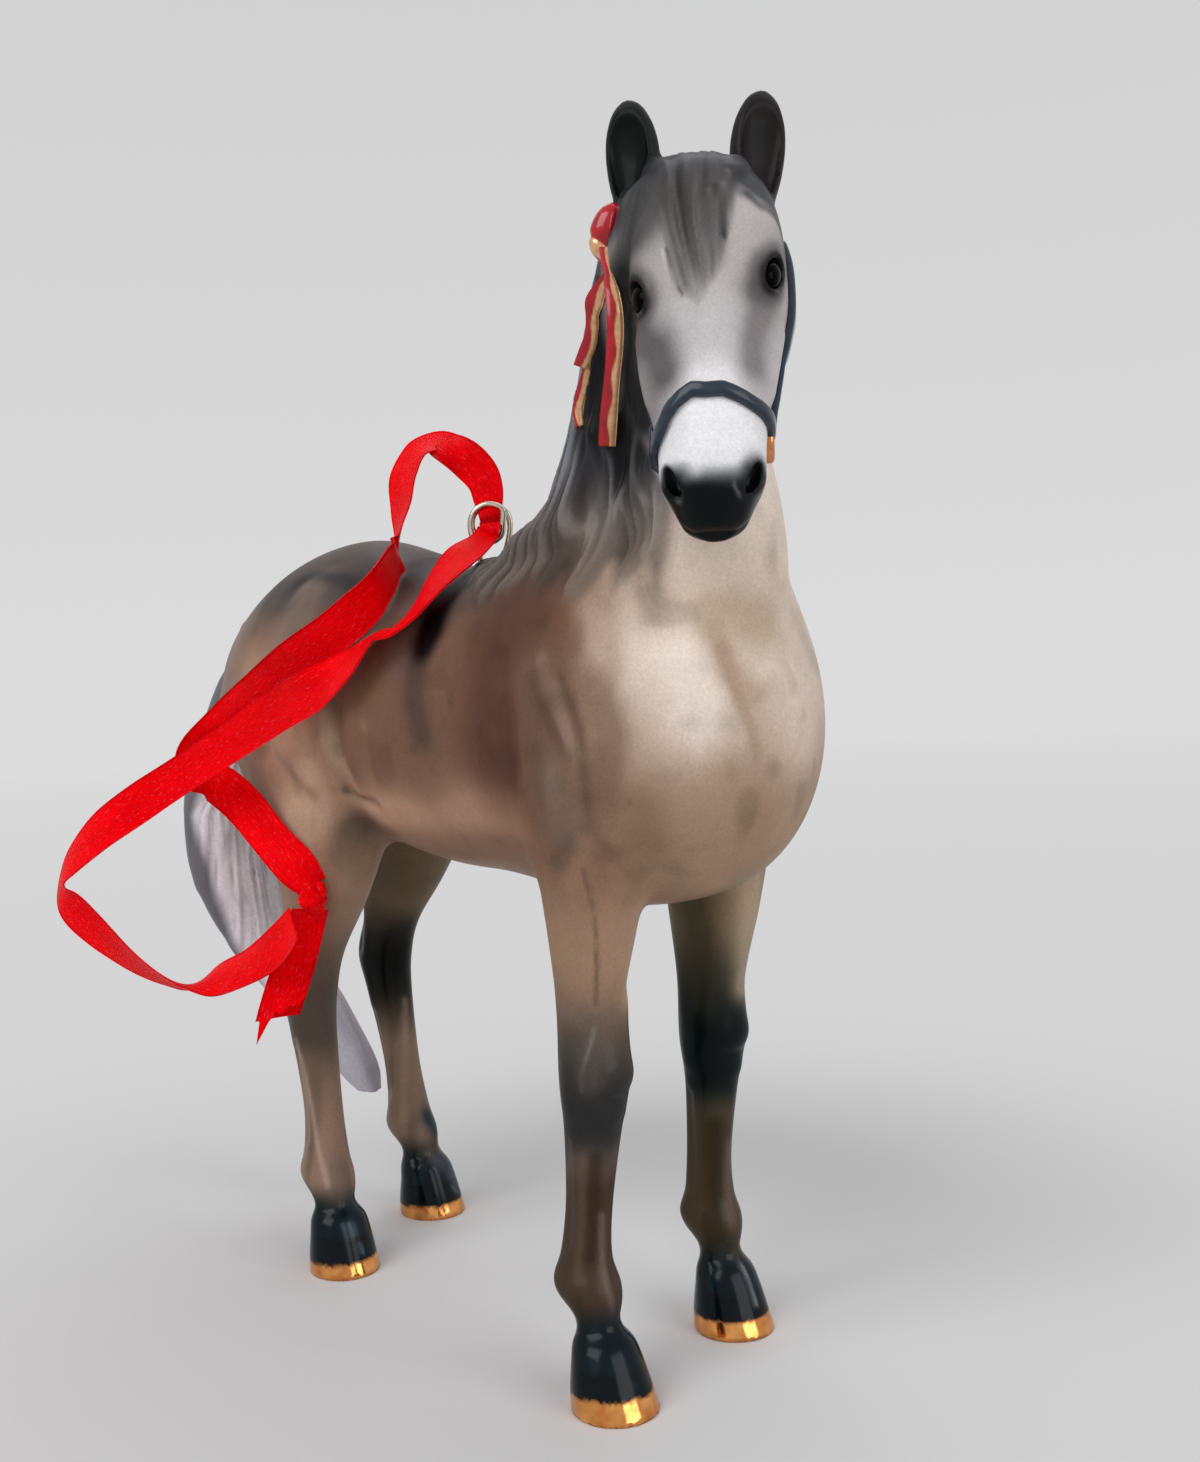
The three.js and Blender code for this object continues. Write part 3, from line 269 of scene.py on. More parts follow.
def unit(v):
    """A vector, or each row of an array, at length 1."""
    return v / np.linalg.norm(v, axis=-1, keepdims=True)


def bell(x):
    return np.exp(-(x**2))


def smooth_rows(table, per=16):
    """Catmull-Rom through a table's rows."""
    rows = np.array([list(r) + [0] * (7 - len(r)) for r in table], float)
    last = len(rows) - 1
    out = []
    for i in range(last):
        a, b, c, d = rows[max(i - 1, 0)], rows[i], rows[i + 1], rows[min(i + 2, last)]
        m0, m1 = (c - a) / 2, (d - b) / 2
        for f in np.arange(per) / per:
            out.append(
                (2 * f**3 - 3 * f**2 + 1) * b
                + (f**3 - 2 * f**2 + f) * m0
                + (3 * f**2 - 2 * f**3) * c
                + (f**3 - f**2) * m1
            )
    out.append(rows[-1])
    return np.array(out)


class Loft:
    """A form through a table's rings. Calling it gives distances, negative inside."""

    SAMPLES = 512

    def __init__(self, frame, table, power=2.0):
        self.frame = frame
        self.power = power
        rows = smooth_rows(table)
        if rows[0, 0] > rows[-1, 0]:
            rows = rows[::-1]
        self.start, self.stop = rows[0, 0], rows[-1, 0]
        at = np.linspace(self.start, self.stop, self.SAMPLES)
        self.grid = np.stack([np.interp(at, rows[:, 0], rows[:, k]) for k in range(1, 7)], 1)
        self.grid[:, 5] = np.radians(self.grid[:, 5])
        reach = np.maximum(np.maximum(self.grid[:, 2], self.grid[:, 3]), self.grid[:, 4])
        self.low = (self.grid[:, :2] - reach[:, None]).min(0) - FAR
        self.high = (self.grid[:, :2] + reach[:, None]).max(0) + FAR

    def __call__(self, points):
        q = in_frame(self.frame, points)
        near = (q[:, 2] > self.start - FAR) & (q[:, 2] < self.stop + FAR)
        near &= ((q[:, :2] > self.low) & (q[:, :2] < self.high)).all(1)
        out = np.full(len(q), FAR)
        if near.any():
            out[near] = self.measure(q[near])
        return out

    def measure(self, q):
        t = np.clip((q[:, 2] - self.start) / (self.stop - self.start), 0, 1) * (self.SAMPLES - 1)
        i = np.minimum(t.astype(int), self.SAMPLES - 2)
        f = (t - i)[:, None]
        c = self.grid[i] * (1 - f) + self.grid[i + 1] * f
        dx, dy = q[:, 0] - c[:, 0], q[:, 1] - c[:, 1]
        cos, sin = np.cos(c[:, 5]), np.sin(c[:, 5])
        u, v = dx * cos - dy * sin, dx * sin + dy * cos
        w, r = c[:, 2], np.where(v > 0, c[:, 3], c[:, 4])
        x, y = np.abs(u) / w + 1e-6, np.abs(v) / r + 1e-6
        p = self.power
        k = (x**p + y**p) ** (1 / p)
        slope = np.sqrt((x ** (p - 1) / w) ** 2 + (y ** (p - 1) / r) ** 2) / k ** (p - 1)
        across = (k - 1) / slope
        beyond = np.maximum(self.start - q[:, 2], q[:, 2] - self.stop)
        inside = np.minimum(np.maximum(across, beyond), 0)
        return inside + np.hypot(np.maximum(across, 0), np.maximum(beyond, 0))


def join(a, b, k):
    h = np.maximum(k - np.abs(a - b), 0) / k
    return np.minimum(a, b) - h * h * k / 4


def cut(a, b, k):
    """What of a is inside b too."""
    return -join(-a, -b, k)


def ellipsoid(points, centre, radii, axes=None):
    q = points - centre
    if axes is not None:
        q = q @ axes.T
    q = q / radii
    k0 = np.sqrt((q**2).sum(1)) + 1e-6
    k1 = np.sqrt(((q / radii) ** 2).sum(1)) + 1e-9
    return k0 * (k0 - 1) / k1


def away(points, route, limit):
    """Distance to a line through points, or limit where it is farther."""
    route = np.atleast_2d(np.asarray(route, float))
    low, high = route.min(0) - limit, route.max(0) + limit
    out = np.full(len(points), float(limit))
    near = ((points > low) & (points < high)).all(1)
    if not near.any():
        return out
    q = points[near]
    best = np.full(len(q), float(limit) ** 2)
    if len(route) == 1:
        best = np.minimum(best, ((q - route[0]) ** 2).sum(1))
    for a, b in zip(route[:-1], route[1:]):
        run = b - a
        t = np.clip(((q - a) @ run) / (run @ run), 0, 1)
        best = np.minimum(best, ((q - a - t[:, None] * run) ** 2).sum(1))
    out[near] = np.sqrt(best)
    return out


def stroke(points, route, radius):
    """1 on the route, fading to 0 at some radii away from it."""
    x = away(points, route, STROKE_REACH * radius) / radius
    return bell(x) * (x < STROKE_REACH - 0.01)


def outline_distance(a, b, outline):
    """Distance of (a, b) from a closed outline in that plane, negative inside."""
    corners = np.asarray(outline, float)
    best = np.full(len(a), 1e9)
    sign = np.ones(len(a))
    for (x0, y0), (x1, y1) in zip(corners, np.roll(corners, -1, 0)):
        ex, ey = x1 - x0, y1 - y0
        wx, wy = a - x0, b - y0
        t = np.clip((wx * ex + wy * ey) / (ex * ex + ey * ey), 0, 1)
        best = np.minimum(best, (wx - ex * t) ** 2 + (wy - ey * t) ** 2)
        c = np.stack([b >= y0, b < y1, ex * wy > ey * wx])
        sign = np.where(c.all(0) | (~c).all(0), -sign, sign)
    return sign * np.sqrt(best)


def ramp(x, start, stop):
    t = np.clip((x - start) / (stop - start), 0, 1)
    return t * t * (3 - 2 * t)


def noise(points, size, seed=0):
    """Smooth value noise, from -1 to 1."""
    q = np.asarray(points, float) / size + seed * 17.37
    i = np.floor(q).astype(np.int64)
    f = q - i
    f = f * f * (3 - 2 * f)
    out = np.zeros(len(q))
    for corner in CORNERS:
        n = (i + corner) @ HASH_STEPS
        for shift, factor in HASH_FACTORS:
            n = ((n ^ (n >> shift)) * factor) & 0x7FFFFFFF
        weight = np.prod(np.where(corner, f, 1 - f), 1)
        out += weight * ((n >> 8 & 0xFFFF) / 32767.5 - 1)
    return out


# The horse's form
trunk = Loft(LENGTHWISE, TRUNK)
neck = Loft(UPRIGHT, NECK)
head = Loft(FACE, HEAD, power=2.3)
LEGS = [Loft(UPRIGHT, t) for t in (FORELEG_RIGHT, FORELEG_LEFT, HINDLEG_RIGHT, HINDLEG_LEFT)]
tail = Loft(UPRIGHT, TAIL)

EAR_WALL = 0.5
EAR_HOLLOW_FORWARD = 0.8
EAR_PLACES = {-1: (-4.15, -0.06), 1: (3.45, 0.12)}  # for each hand: how far sideways, and its lean


def ear(hand):
    """(leaf, hollow) of the horse's right ear, hand -1, or its left one, hand 1."""
    sideways, lean = EAR_PLACES[hand]
    along = unit(-DOWN + SIDE * lean + OUT * 0.16)
    front = OUT + SIDE * hand * 0.4
    front = unit(front - along * (front @ along))
    root, axes = on_face(sideways, -1.7, -5), np.stack([np.cross(along, front), front, along])
    hollow = [[*ring[:3], *(max(x - EAR_WALL, 0.05) for x in ring[3:])] for ring in EAR]
    return Loft((root, axes), EAR), Loft((root + EAR_HOLLOW_FORWARD * front, axes), hollow)


EARS = [ear(hand) for hand in (-1, 1)]

# Routes that are carved here and painted further down
ARM_CREASE = [
    (-9.3, -16.2, 46.4), (-9.4, -17.5, 43.4), (-9.1, -17.6, 40.9), (-8.6, -17.2, 38.8), (-8, -17, 37.3),
]
ARM_FOLD = [(-9.4, -13.8, 46.2), (-9.6, -15.2, 43.6), (-9.4, -16.7, 41.6)]
ARM_HOLLOW = [(-8.9, -18.8, 45.9), (-8.8, -19.7, 42.9), (-8.4, -18.4, 39)]
BREAST_SWELL = [(-5.5, -22.6, 47), (-5, -23.2, 45.7), (-4.8, -23.4, 43.7)]
BREAST_TOP = [(-3.2, -23.3, 50.2), (-1.8, -24.1, 49.9), (0, -24.4, 49.4)]
BREAST_HOLLOW = [(-3.2, -23.2, 48.8), (-2.8, -23.9, 46.7), (-1.9, -24.2, 45.7), (-1, -24.5, 44.7)]
BREAST_CREASE = [(-2.8, -23.6, 47.8), (-2.1, -24.2, 44.7), (-1, -24.5, 42.6), (-0.7, -24.4, 41.1)]
# Muscles, folds and hollows: (route, radius, depth). A positive depth sinks, a negative one swells.
RELIEF = [
    # shoulder and arm
    (ARM_CREASE, 0.55, 0.26),
    (ARM_FOLD, 0.6, 0.24),
    ([(-9.2, -14.9, 47.2), (-9.5, -16, 45.2), (-9.6, -16.8, 43), (-9.2, -17.2, 41.5)], 0.7, -0.26),
    ([(-9.3, -16.5, 40.9), (-9.1, -16.3, 39.8), (-8.7, -15.4, 38)], 1.2, -0.45),
    ([(-7.6, -17.4, 36.4), (-7.2, -17.7, 35.8), (-6.5, -18.1, 35.5)], 0.4, 0.22),
    (ARM_HOLLOW, 1.1, 0.45),
    ([(-9.8, -11.2, 45), (-9.4, -11.6, 41), (-8.6, -11.4, 37.5), (-8.2, -12.4, 34.8)], 0.8, 0.3),
    ([(-9.6, -12.6, 43), (-9.2, -12.9, 39), (-8.4, -13.2, 35.5)], 0.8, -0.25),
    ([(9.2, -15, 47), (9.4, -17.3, 42), (8.2, -17.4, 37.5)], 0.8, 0.45),
    # neck and breast
    ([(-7.6, -18.4, 50.6), (-8.2, -19.2, 47)], 1.1, 0.4),
    ([(-4.9, -19.2, 54), (-5.3, -20.1, 52), (-5.8, -21.4, 49.5)], 1.2, 0.35),
    (BREAST_SWELL, 2.1, -0.6),
    (BREAST_TOP, 1.4, 0.45),
    (BREAST_HOLLOW, 0.9, 0.35),
    (BREAST_CREASE, 0.6, 0.35),
    ([(-0.7, -24, 38.6), (-0.4, -23.6, 36.8)], 1.2, 0.3),
    ([(3.2, -24.2, 44.6), (3.6, -24, 42)], 2.4, -0.5),
    # flank, thigh and croup
    ([(-9.8, 11.2, 45.1), (-9.5, 11.6, 43), (-8.5, 11.8, 39.9)], 0.9, -0.3),
    ([(-9.9, 9.4, 45), (-9.5, 9.8, 42.4), (-8.6, 10, 40)], 0.8, 0.35),
    ([(-8.2, 10.6, 39), (-7.9, 9.5, 38.1), (-7.9, 7.5, 38)], 0.5, 0.4),
    ([(-9.5, 20, 42.4), (-9.3, 17.3, 40.3), (-8.9, 15, 38)], 1.0, 0.3),
    ([(-6.9, 16, 54.3), (-7.2, 14, 53.4)], 2.2, -0.45),
    ([(-7.2, 18.6, 54.2), (-5.6, 15.4, 56.2), (-6.1, 11.2, 54.6)], 1.2, 0.3),
    ([(-9, 17, 44), (-9, 15, 40)], 2.4, -0.3),
    ([(9.4, 11.6, 44.5), (8.8, 12, 40.6), (8, 9.6, 38)], 0.8, 0.4),
    ([(7, 15.5, 54.2), (7.3, 13.8, 53.2)], 2.2, -0.4),
    ([(0, 22, 58), (0, 32, 53.5)], 1.4, 0.25),
]

# For each leg: x, y and height of its fetlock, and of the top of its hoof.
FEET = [
    (-6.9, -13.4, 7.2, -7.1, -14.9, 3.5),
    (6.9, -11.2, 7.4, 6.8, -12.4, 3.6),
    (-6.3, 19.4, 7.2, -6.4, 18.1, 3.6),
    (5.5, 24.5, 7.5, 6.0, 23.5, 3.7),
]
HOOF_RADII = (np.array([2.25, 2.6, 4.4]), np.array([2.35, 2.7, 4.4]))  # of the fore and of the hind hooves
HOOF_MIDDLE_Z = 0.5
HOOF_TOP_Z = 3.6


def leg_relief():
    """Tendons, knees and hocks."""
    out = []

    def add(radius, depth, *route):
        out.append((route, radius, depth))

    for x, y, low, high in ((-6.2, -13, 10.2, 16.4), (7.2, -11, 10.4, 16.4)):
        for hand in (-1, 1):
            add(0.5, 0.28, (x + hand * 1.6, y + 0.5, high), (x - 0.3 + hand * 1.45, y + 0.5, low))
        add(0.7, -0.15, (x, y + 1.7, high), (x - 0.2, y + 1.7, low))
    for x, y0, y1, low, high in ((-6, 21.2, 20.0, 10.2, 17), (5.4, 26.8, 25.3, 10.6, 17.4)):
        for hand in (-1, 1):
            add(0.5, 0.3, (x + hand * 1.6, y0 + 0.5, high), (x - 0.1 + hand * 1.5, y1 + 0.4, low))
    # a knee is a broad flat front with a hollow over and under it
    for x, y in ((-5.8, -13.5), (7.3, -11.5)):
        add(0.9, -0.26, (x - 0.9, y - 2.1, 21), (x + 0.9, y - 2.1, 21))
        add(0.7, -0.18, (x - 1, y - 2.2, 18.2), (x + 1, y - 2.2, 18.2))
        add(1, 0.2, (x, y - 2.4, 23.6), (x, y - 2.3, 24.4))
        add(0.45, 0.14, (x - 1.2, y - 2.1, 19.6), (x + 1.2, y - 2.1, 19.6))
        add(0.8, -0.22, (x - 2.2, y, 22), (x - 2.1, y + 0.2, 19))
        add(0.5, -0.16, (x, y - 2.4, 31), (x - 0.2, y - 2.3, 26))
    # a fetlock swells behind, over a hollow pastern
    for x, y, z, *_ in FEET:
        add(1.1, -0.25, (x - 1.3, y + 1.6, z + 0.6), (x + 1.3, y + 1.6, z + 0.6))
        add(0.9, 0.42, (x - 1.8, y + 0.6, z - 1.9), (x, y + 1.6, z - 1.8), (x + 1.8, y + 0.6, z - 1.9))
        add(0.8, 0.2, (x - 1.6, y - 1.6, z - 2), (x + 1.6, y - 1.8, z - 2))
    # the right forearm's hollows, then the hocks
    add(1.5, 0.35, (-8.9, -11.3, 33), (-8.8, -11.6, 27))
    add(1.3, 0.35, (-4.5, -15.4, 32), (-4.5, -15.1, 27))
    for x, y, z in ((-5.9, 24.2, 23.6), (5.4, 29.9, 24.2)):
        add(0.9, -0.3, (x, y, z + 0.6), (x, y - 0.4, z - 0.8))
        for hand in (-1, 1):
            add(0.7, 0.3, (x + hand * 1.9, y - 1.6, z + 2.6), (x + hand * 1.8, y - 1.4, z - 0.6))
    return out


RELIEF += leg_relief()

# The face on both sides: (route in sideways, down, out, radius, depth)
FACE_SIDES = [
    ([(3.7, 4.6, -1.6), (3.9, 6.2, -1.8)], 1.5, -0.35),  # brow
    ([(3.6, 9.8, -0.9), (3.2, 12.4, -0.9)], 1.1, 0.35),  # in front of the eye
    ([(4.3, 10.8, -3.4), (3.6, 14.6, -3.2)], 0.9, -0.3),  # crest of the cheek
    ([(2.6, 13, -0.9), (2.4, 15.4, -0.7)], 1.0, 0.25),
    ([(4.3, 12.4, -5.6), (3.6, 15, -5.4)], 1.3, 0.3),
    ([(4.7, 4.5, -8), (4.6, 7.5, -8.4)], 2.2, -0.35),  # jaw
    ([(2.5, 20.4, -1.6), (2.5, 21.8, -1.8)], 0.9, -0.35),  # nostril's wing
    ([(3.2, 22.6, -4.8), (2.9, 22.9, -3), (2.3, 23.4, -2)], 1.2, 0.8),  # corner of the mouth
    ([(2.1, 2, -0.4), (2.6, 4, -0.2)], 1.6, -0.15),  # forehead
]
FACE_MIDDLE = [
    ([(0, 10, 0.2), (0, 15, -0.4)], 1.2, -0.15),  # bridge of the nose
    ([(-0.5, 23, -5), (0.5, 23, -5)], 1.0, -0.25),  # chin
    ([(-1.8, 23.2, -3.8), (0, 23.6, -3.7), (1.8, 23.2, -3.8)], 0.28, 0.22),  # between the lips
    ([(0, 21.6, -0.6), (0, 22.9, -1.6)], 0.7, 0.15),  # between the nostrils
    ([(-4.9, 1, -5), (-4.9, 10, -4.6)], 2.6, 0.5),  # the right side's slighter width
    # beside the forelock
    ([(-2.8, 0.7, -1.6), (-2.2, 3.3, -0.7), (-2, 6.3, -0.5), (-1.5, 9.6, -0.2)], 0.3, 0.22),
    ([(1.9, 0.6, -0.4), (2.1, 2.6, -0.6), (1.7, 5.4, -0.3), (0.9, 8.2, -0.1)], 0.3, 0.18),
]


def on_skin(strokes, hand=1):
    """Strokes given by places on the head, or mirrored by hand -1, as strokes in the part's frame."""
    return [([on_face(hand * s, d, o) for s, d, o in route], *rest) for route, *rest in strokes]


for _right, _left in zip(on_skin(FACE_SIDES, -1), on_skin(FACE_SIDES)):
    RELIEF += [_right, _left]
RELIEF += on_skin(FACE_MIDDLE)

MANE_OUTLINE = [
    (-20.5, 80), (-20, 74), (-18, 68), (-17.6, 61), (-16, 57), (-13, 54.6),
    (-8, 54.2), (-3, 55.2), (2, 57), (2, 66), (-6, 76), (-14, 82),
]
MANE_LOCKS = [
    (-21, 80), (-21, 72), (-20.6, 64), (-21.4, 56), (-21.2, 50.8), (-19.9, 53), (-18.6, 51.2),
    (-17.6, 53.2), (-16.4, 51), (-15, 51), (-13.8, 52.8), (-12.4, 51.4), (-11, 52.8), (-9, 52.2),
    (-7, 51.8), (-5, 51.6), (-3, 53), (2, 55), (2, 66), (-6, 76), (-14, 82),
]
FORELOCK = [
    (-4.4, -5), (-4.2, -1), (-3.4, 1.4), (-2.6, 3.6), (-2.2, 6.3), (-1.6, 9.4), (-0.4, 10.8),
    (0.6, 9), (1.3, 6.8), (1.9, 4), (2.3, 1.4), (3.3, -1), (3.5, -5),
]


def ridges(across, along, scale, stretch, seed):
    """Strands: creases that run along, some scale apart and some stretch long."""
    q = np.stack([across / scale, along / (scale * stretch), np.zeros(len(across))], 1)
    q[:, 0] += 0.9 * noise(q * (0.35, 1, 1), 1.0, seed + 3)
    coarse = 1 - 2 * np.abs(noise(q, 1.0, seed))
    fine = 1 - 2 * np.abs(noise(q * (2.3, 1.6, 1), 1.0, seed + 1))
    return 0.65 * coarse + 0.35 * fine


def mane_strands(p):
    x, y, z = p.T
    fall = (80 - z) / 28
    across = (y + 13 - 2.0 * fall) / (0.75 + 0.28 * fall) + 0.35 * x
    return ridges(across, z + 0.5 * y, 1.15, 5.5, 5)


MANE_LOW, MANE_HIGH = (-99, -26, 46), (5, 6, 84)  # the box that the mane is looked for in


def mane_cover(p):
    """(thickness of the mane over the neck, how much a point is mane)."""
    near = ((p > MANE_LOW) & (p < MANE_HIGH)).all(1)
    thick, mask = np.zeros(len(p)), np.zeros(len(p))
    if near.any():
        q = p[near]
        inner = outline_distance(q[:, 1], q[:, 2], MANE_OUTLINE)
        locks = outline_distance(q[:, 1], q[:, 2], MANE_LOCKS)
        side = ramp(-q[:, 0], -2.4, -0.4)
        body = ramp(-inner, -0.5, 2.4) * side
        thin = ramp(-locks, -0.3, 1.1) * side
        thick[near] = 1.25 * body + thin * (0.3 + 0.46 * mane_strands(q))
        mask[near] = thin
    return thick, mask


def lock_strands(side, down):
    spread = side / (0.35 + 0.065 * np.clip(12 - down, 2, 16))
    return ridges(spread * 1.1, down, 0.62, 9, 11)


def lock_cover(q):
    """The forelock, from places in the head's frame (side, out, down)."""
    inner = outline_distance(q[:, 0], q[:, 2], FORELOCK)
    front = ramp(q[:, 1], -9, -6)
    mask = ramp(-inner, -0.15, 0.5) * front
    return mask * (0.34 + 0.2 * lock_strands(q[:, 0], q[:, 2])), mask


def relief(p):
    out = np.zeros(len(p))
    for route, radius, depth in RELIEF:
        out += depth * stroke(p, route, radius)
    return out


# The head's flat top between the ears, behind the forelock
POLL_TOP, POLL_RADII = on_face(0, -1.9, -5.6), (3.6, 2.8, 1.1)
POLL_HEIGHT = -2.0
RELIEF_REACH = 3  # how far off a form its relief still counts


def head_form(p):
    return join(head(p), ellipsoid(p, POLL_TOP, POLL_RADII, FACE[1]), 1.2)


def bare_face(p):
    """The head's skin without hair, eyes, nostrils or ears."""
    d = cut(head_form(p), POLL_HEIGHT - in_frame(FACE, p)[:, 2], 0.5)
    return d + relief(p) * (d < RELIEF_REACH)


def nostril_axes(hand):
    out = unit(OUT * 0.75 + SIDE * hand * 0.6)
    run = DOWN * 0.93 + SIDE * hand * -0.25
    run = unit(run - out * (run @ out))
    return np.stack([np.cross(run, out), run, out])


NOSTRILS = [(on_face(hand * 2.4, 21.5, -1.35), nostril_axes(hand)) for hand in (-1, 1)]
NOSTRIL_RADII = (0.42, 1.0, 0.85)


def nostrils(p):
    return np.minimum(*(ellipsoid(p, centre, NOSTRIL_RADII, axes) for centre, axes in NOSTRILS))


def settle_point(field, point):
    return settle(field, np.array([point], float), 8, 0.8)[0]


def eye_frame(hand, place):
    """(its middle on the skin, its axes along the eye, across it and out of it)."""
    out = unit(SIDE * hand * 0.86 + OUT * 0.5)
    along = DOWN * 0.8 + OUT * 0.42
    along = unit(along - out * (along @ out))
    across = np.cross(out, along)
    across *= np.sign(across @ OUT)
    return settle_point(bare_face, on_face(*place)), np.stack([along, across, out])


EYE_PLACES = {-1: (-4.1, 8.2, -2.2), 1: (4.0, 7.4, -1.9)}  # by hand: sideways, down and out
SOCKET = np.array([1.15, 0.82, 0.55])


def lid(eye, side, reach):
    """Points of an arc round the eye, over it (side 1) or under it (side -1)."""
    centre, axes = eye
    a = np.linspace(0.08, 0.92, 7) * math.pi
    ring = np.stack([np.cos(a), side * np.sin(a)], 1) * SOCKET[:2] * reach
    return centre + ring @ axes[:2]


HEAD_LOW, HEAD_HIGH = (-12, -18, -12), (12, 99, 27)  # the box of the head, ears and all, in its own frame


def horse_head(p, d):
    """The distance d with the head added to it."""
    q = in_frame(FACE, p)
    near = ((q > HEAD_LOW) & (q < HEAD_HIGH)).all(1)
    if not near.any():
        return d
    out = d.copy()
    pn, qn, dn = p[near], q[near], d[near]
    face = bare_face(pn)
    for eye in EYES.values():
        face = face - 0.26 * stroke(pn, lid(eye, 1, 1.2), 0.3)
        face = face - 0.18 * stroke(pn, lid(eye, -1, 1.15), 0.26)
        face = cut(face, -ellipsoid(pn, eye[0], SOCKET, eye[1]), 0.15)
    thick, _ = lock_cover(qn)
    face = cut(face - thick, -nostrils(pn), 0.3)
    for leaf, hollow in EARS:
        face = join(face, cut(leaf(pn), -hollow(pn), 0.15), 0.7)
    out[near] = join(dn, face, 1.4)
    return out


# Where body_skin and head_skin meet: each reaches SEAM_OVERLAP into the other and sinks below it there.
SEAM_AT = np.array([0, -12, 54.5])
SEAM_UP = np.array([0, -0.3, 0.954])
SEAM_OVERLAP = 3
SEAM_SINK = 0.12
SEAM_Y, SEAM_Z = 3, 40  # the body ends at the seam only before and over these


def hooves(p):
    """The wide rounded walls of the hooves."""
    out = np.full(len(p), FAR)
    for *_, x, y, z in FEET:
        middle = np.array([x, y - 0.5 * (HOOF_TOP_Z - z) / HOOF_TOP_Z, HOOF_MIDDLE_Z])
        out = np.minimum(out, cut(ellipsoid(p, middle, HOOF_RADII[int(y > 0)]), -p[:, 2], 0.1))
    return out


def horse(p):
    """Distance from the whole glazed surface, without the tail."""
    d = join(trunk(p), neck(p), 3.0)
    for leg in LEGS:
        d = join(d, leg(p), 2.0)
    d = join(d, hooves(p), 0.5)
    d = d + relief(p) * (d < RELIEF_REACH)
    thick, _ = mane_cover(p)
    maned = join(neck(p), trunk(p), 2.0) - thick
    d = np.where(thick > 0.01, join(d, maned, 0.4), d)
    return horse_head(p, d)


def beyond_seam(p):
    return (p - SEAM_AT) @ SEAM_UP


def kept_below(d, s):
    """A distance d cut off where s, a height over the seam, is above the overlap."""
    return np.maximum(d + SEAM_SINK * np.maximum(s, 0) ** 2, s - SEAM_OVERLAP)


def body_skin(p):
    return kept_below(horse(p), beyond_seam(p) * ((p[:, 1] < SEAM_Y) & (p[:, 2] > SEAM_Z)))


def head_skin(p):
    return kept_below(horse(p), -beyond_seam(p))


def tail_middle(z):
    """The x of the tail's middle line at a height."""
    return np.interp(z, [10, 24, 36, 53], [4, -2, -4.2, 0])


def tail_strands(p):
    x, _, z = p.T
    return ridges(np.arctan2(x - tail_middle(z), 6.0) * 9 + 0.25 * (36 - z), z, 0.9, 8, 21)


def tail_skin(p):
    return tail(p) - 0.16 * tail_strands(p) - 0.05


# Skins out of distance fields
BLOCK = 4  # grid steps from one place of the first, coarse look to the next
NEAR_BLOCKS = 1.9  # how many of those steps from the surface the grid is measured in full
CHUNK = 400000  # points measured at a time


def spread_out(grid, times):
    """Each cell of a grid repeated along all three axes."""
    for axis in range(3):
        grid = np.repeat(grid, times, axis)
    return grid


def corner_views(grid, cells):
    """For each corner of a cube, the part of a grid on which the cells have that corner."""
    return [grid[tuple(slice(c, c + n) for c, n in zip(corner, cells))] for corner in CORNERS]


def sample_grid(field, low, high, step):
    """The field on a grid, measured only near its surface; elsewhere only its sign is right."""
    counts = np.ceil((np.asarray(high) - low) / (step * BLOCK)).astype(int)
    axes = [low[k] + np.arange(counts[k] + 1) * step * BLOCK for k in range(3)]
    coarse = np.stack(np.meshgrid(*axes, indexing="ij"), -1).reshape(-1, 3)
    rough = field(coarse).reshape(counts + 1)
    fine = spread_out(rough, BLOCK)[(slice(1 - BLOCK),) * 3].copy()
    near = np.minimum.reduce(corner_views(np.abs(rough), counts)) < step * BLOCK * NEAR_BLOCKS
    todo = np.zeros(fine.shape, bool)
    for view in corner_views(todo, counts * BLOCK):
        view |= spread_out(near, BLOCK)
    index = np.argwhere(todo)
    for chunk in np.array_split(index, max(1, len(index) // CHUNK)):
        fine[tuple(chunk.T)] = field(low + chunk * step)
    return fine


def surface_net(grid, low, step):
    """(points, quads) of the surface where the grid changes sign."""
    shape = np.array(grid.shape) - 1
    inside = grid < 0
    count = sum(view.astype(np.int8) for view in corner_views(inside, shape))
    mixed = (count > 0) & (count < len(CORNERS))
    cells = np.argwhere(mixed)
    number = np.full(shape, -1)
    number[mixed] = np.arange(len(cells))
    total, hits = np.zeros((len(cells), 3)), np.zeros(len(cells))
    values = {c: grid[tuple((cells + c).T)] for c in CORNERS}
    for a in CORNERS:
        for axis in range(3):
            if a[axis]:
                continue
            va, vb = values[a], values[(*a[:axis], 1, *a[axis + 1 :])]
            cross = (va < 0) != (vb < 0)
            place = np.repeat(np.array(a, float)[None], len(cells), 0)
            place[:, axis] += np.where(cross, va / np.where(cross, va - vb, 1), 0)
            total += place * cross[:, None]
            hits += cross
    points = low + (cells + total / hits[:, None]) * step
    quads = []
    for axis in range(3):
        u, v = (axis + 1) % 3, (axis + 2) % 3
        step_on = tuple(int(k == axis) for k in range(3))
        here, there = (corner_views(inside, shape)[CORNERS.index(c)] for c in ((0, 0, 0), step_on))
        edges = np.argwhere(here != there)
        edges = edges[(edges[:, u] > 0) & (edges[:, v] > 0)]
        first = inside[tuple(edges.T)]
        ring = []
        for du, dv in ((0, 0), (1, 0), (1, 1), (0, 1)):
            cell = edges.copy()
            cell[:, u] -= du
            cell[:, v] -= dv
            ring.append(number[tuple(cell.T)])
        quad = np.stack(ring, 1)
        quad[~first] = quad[~first][:, ::-1]
        quads.append(quad[(quad >= 0).all(1)])
    return points, np.concatenate(quads)


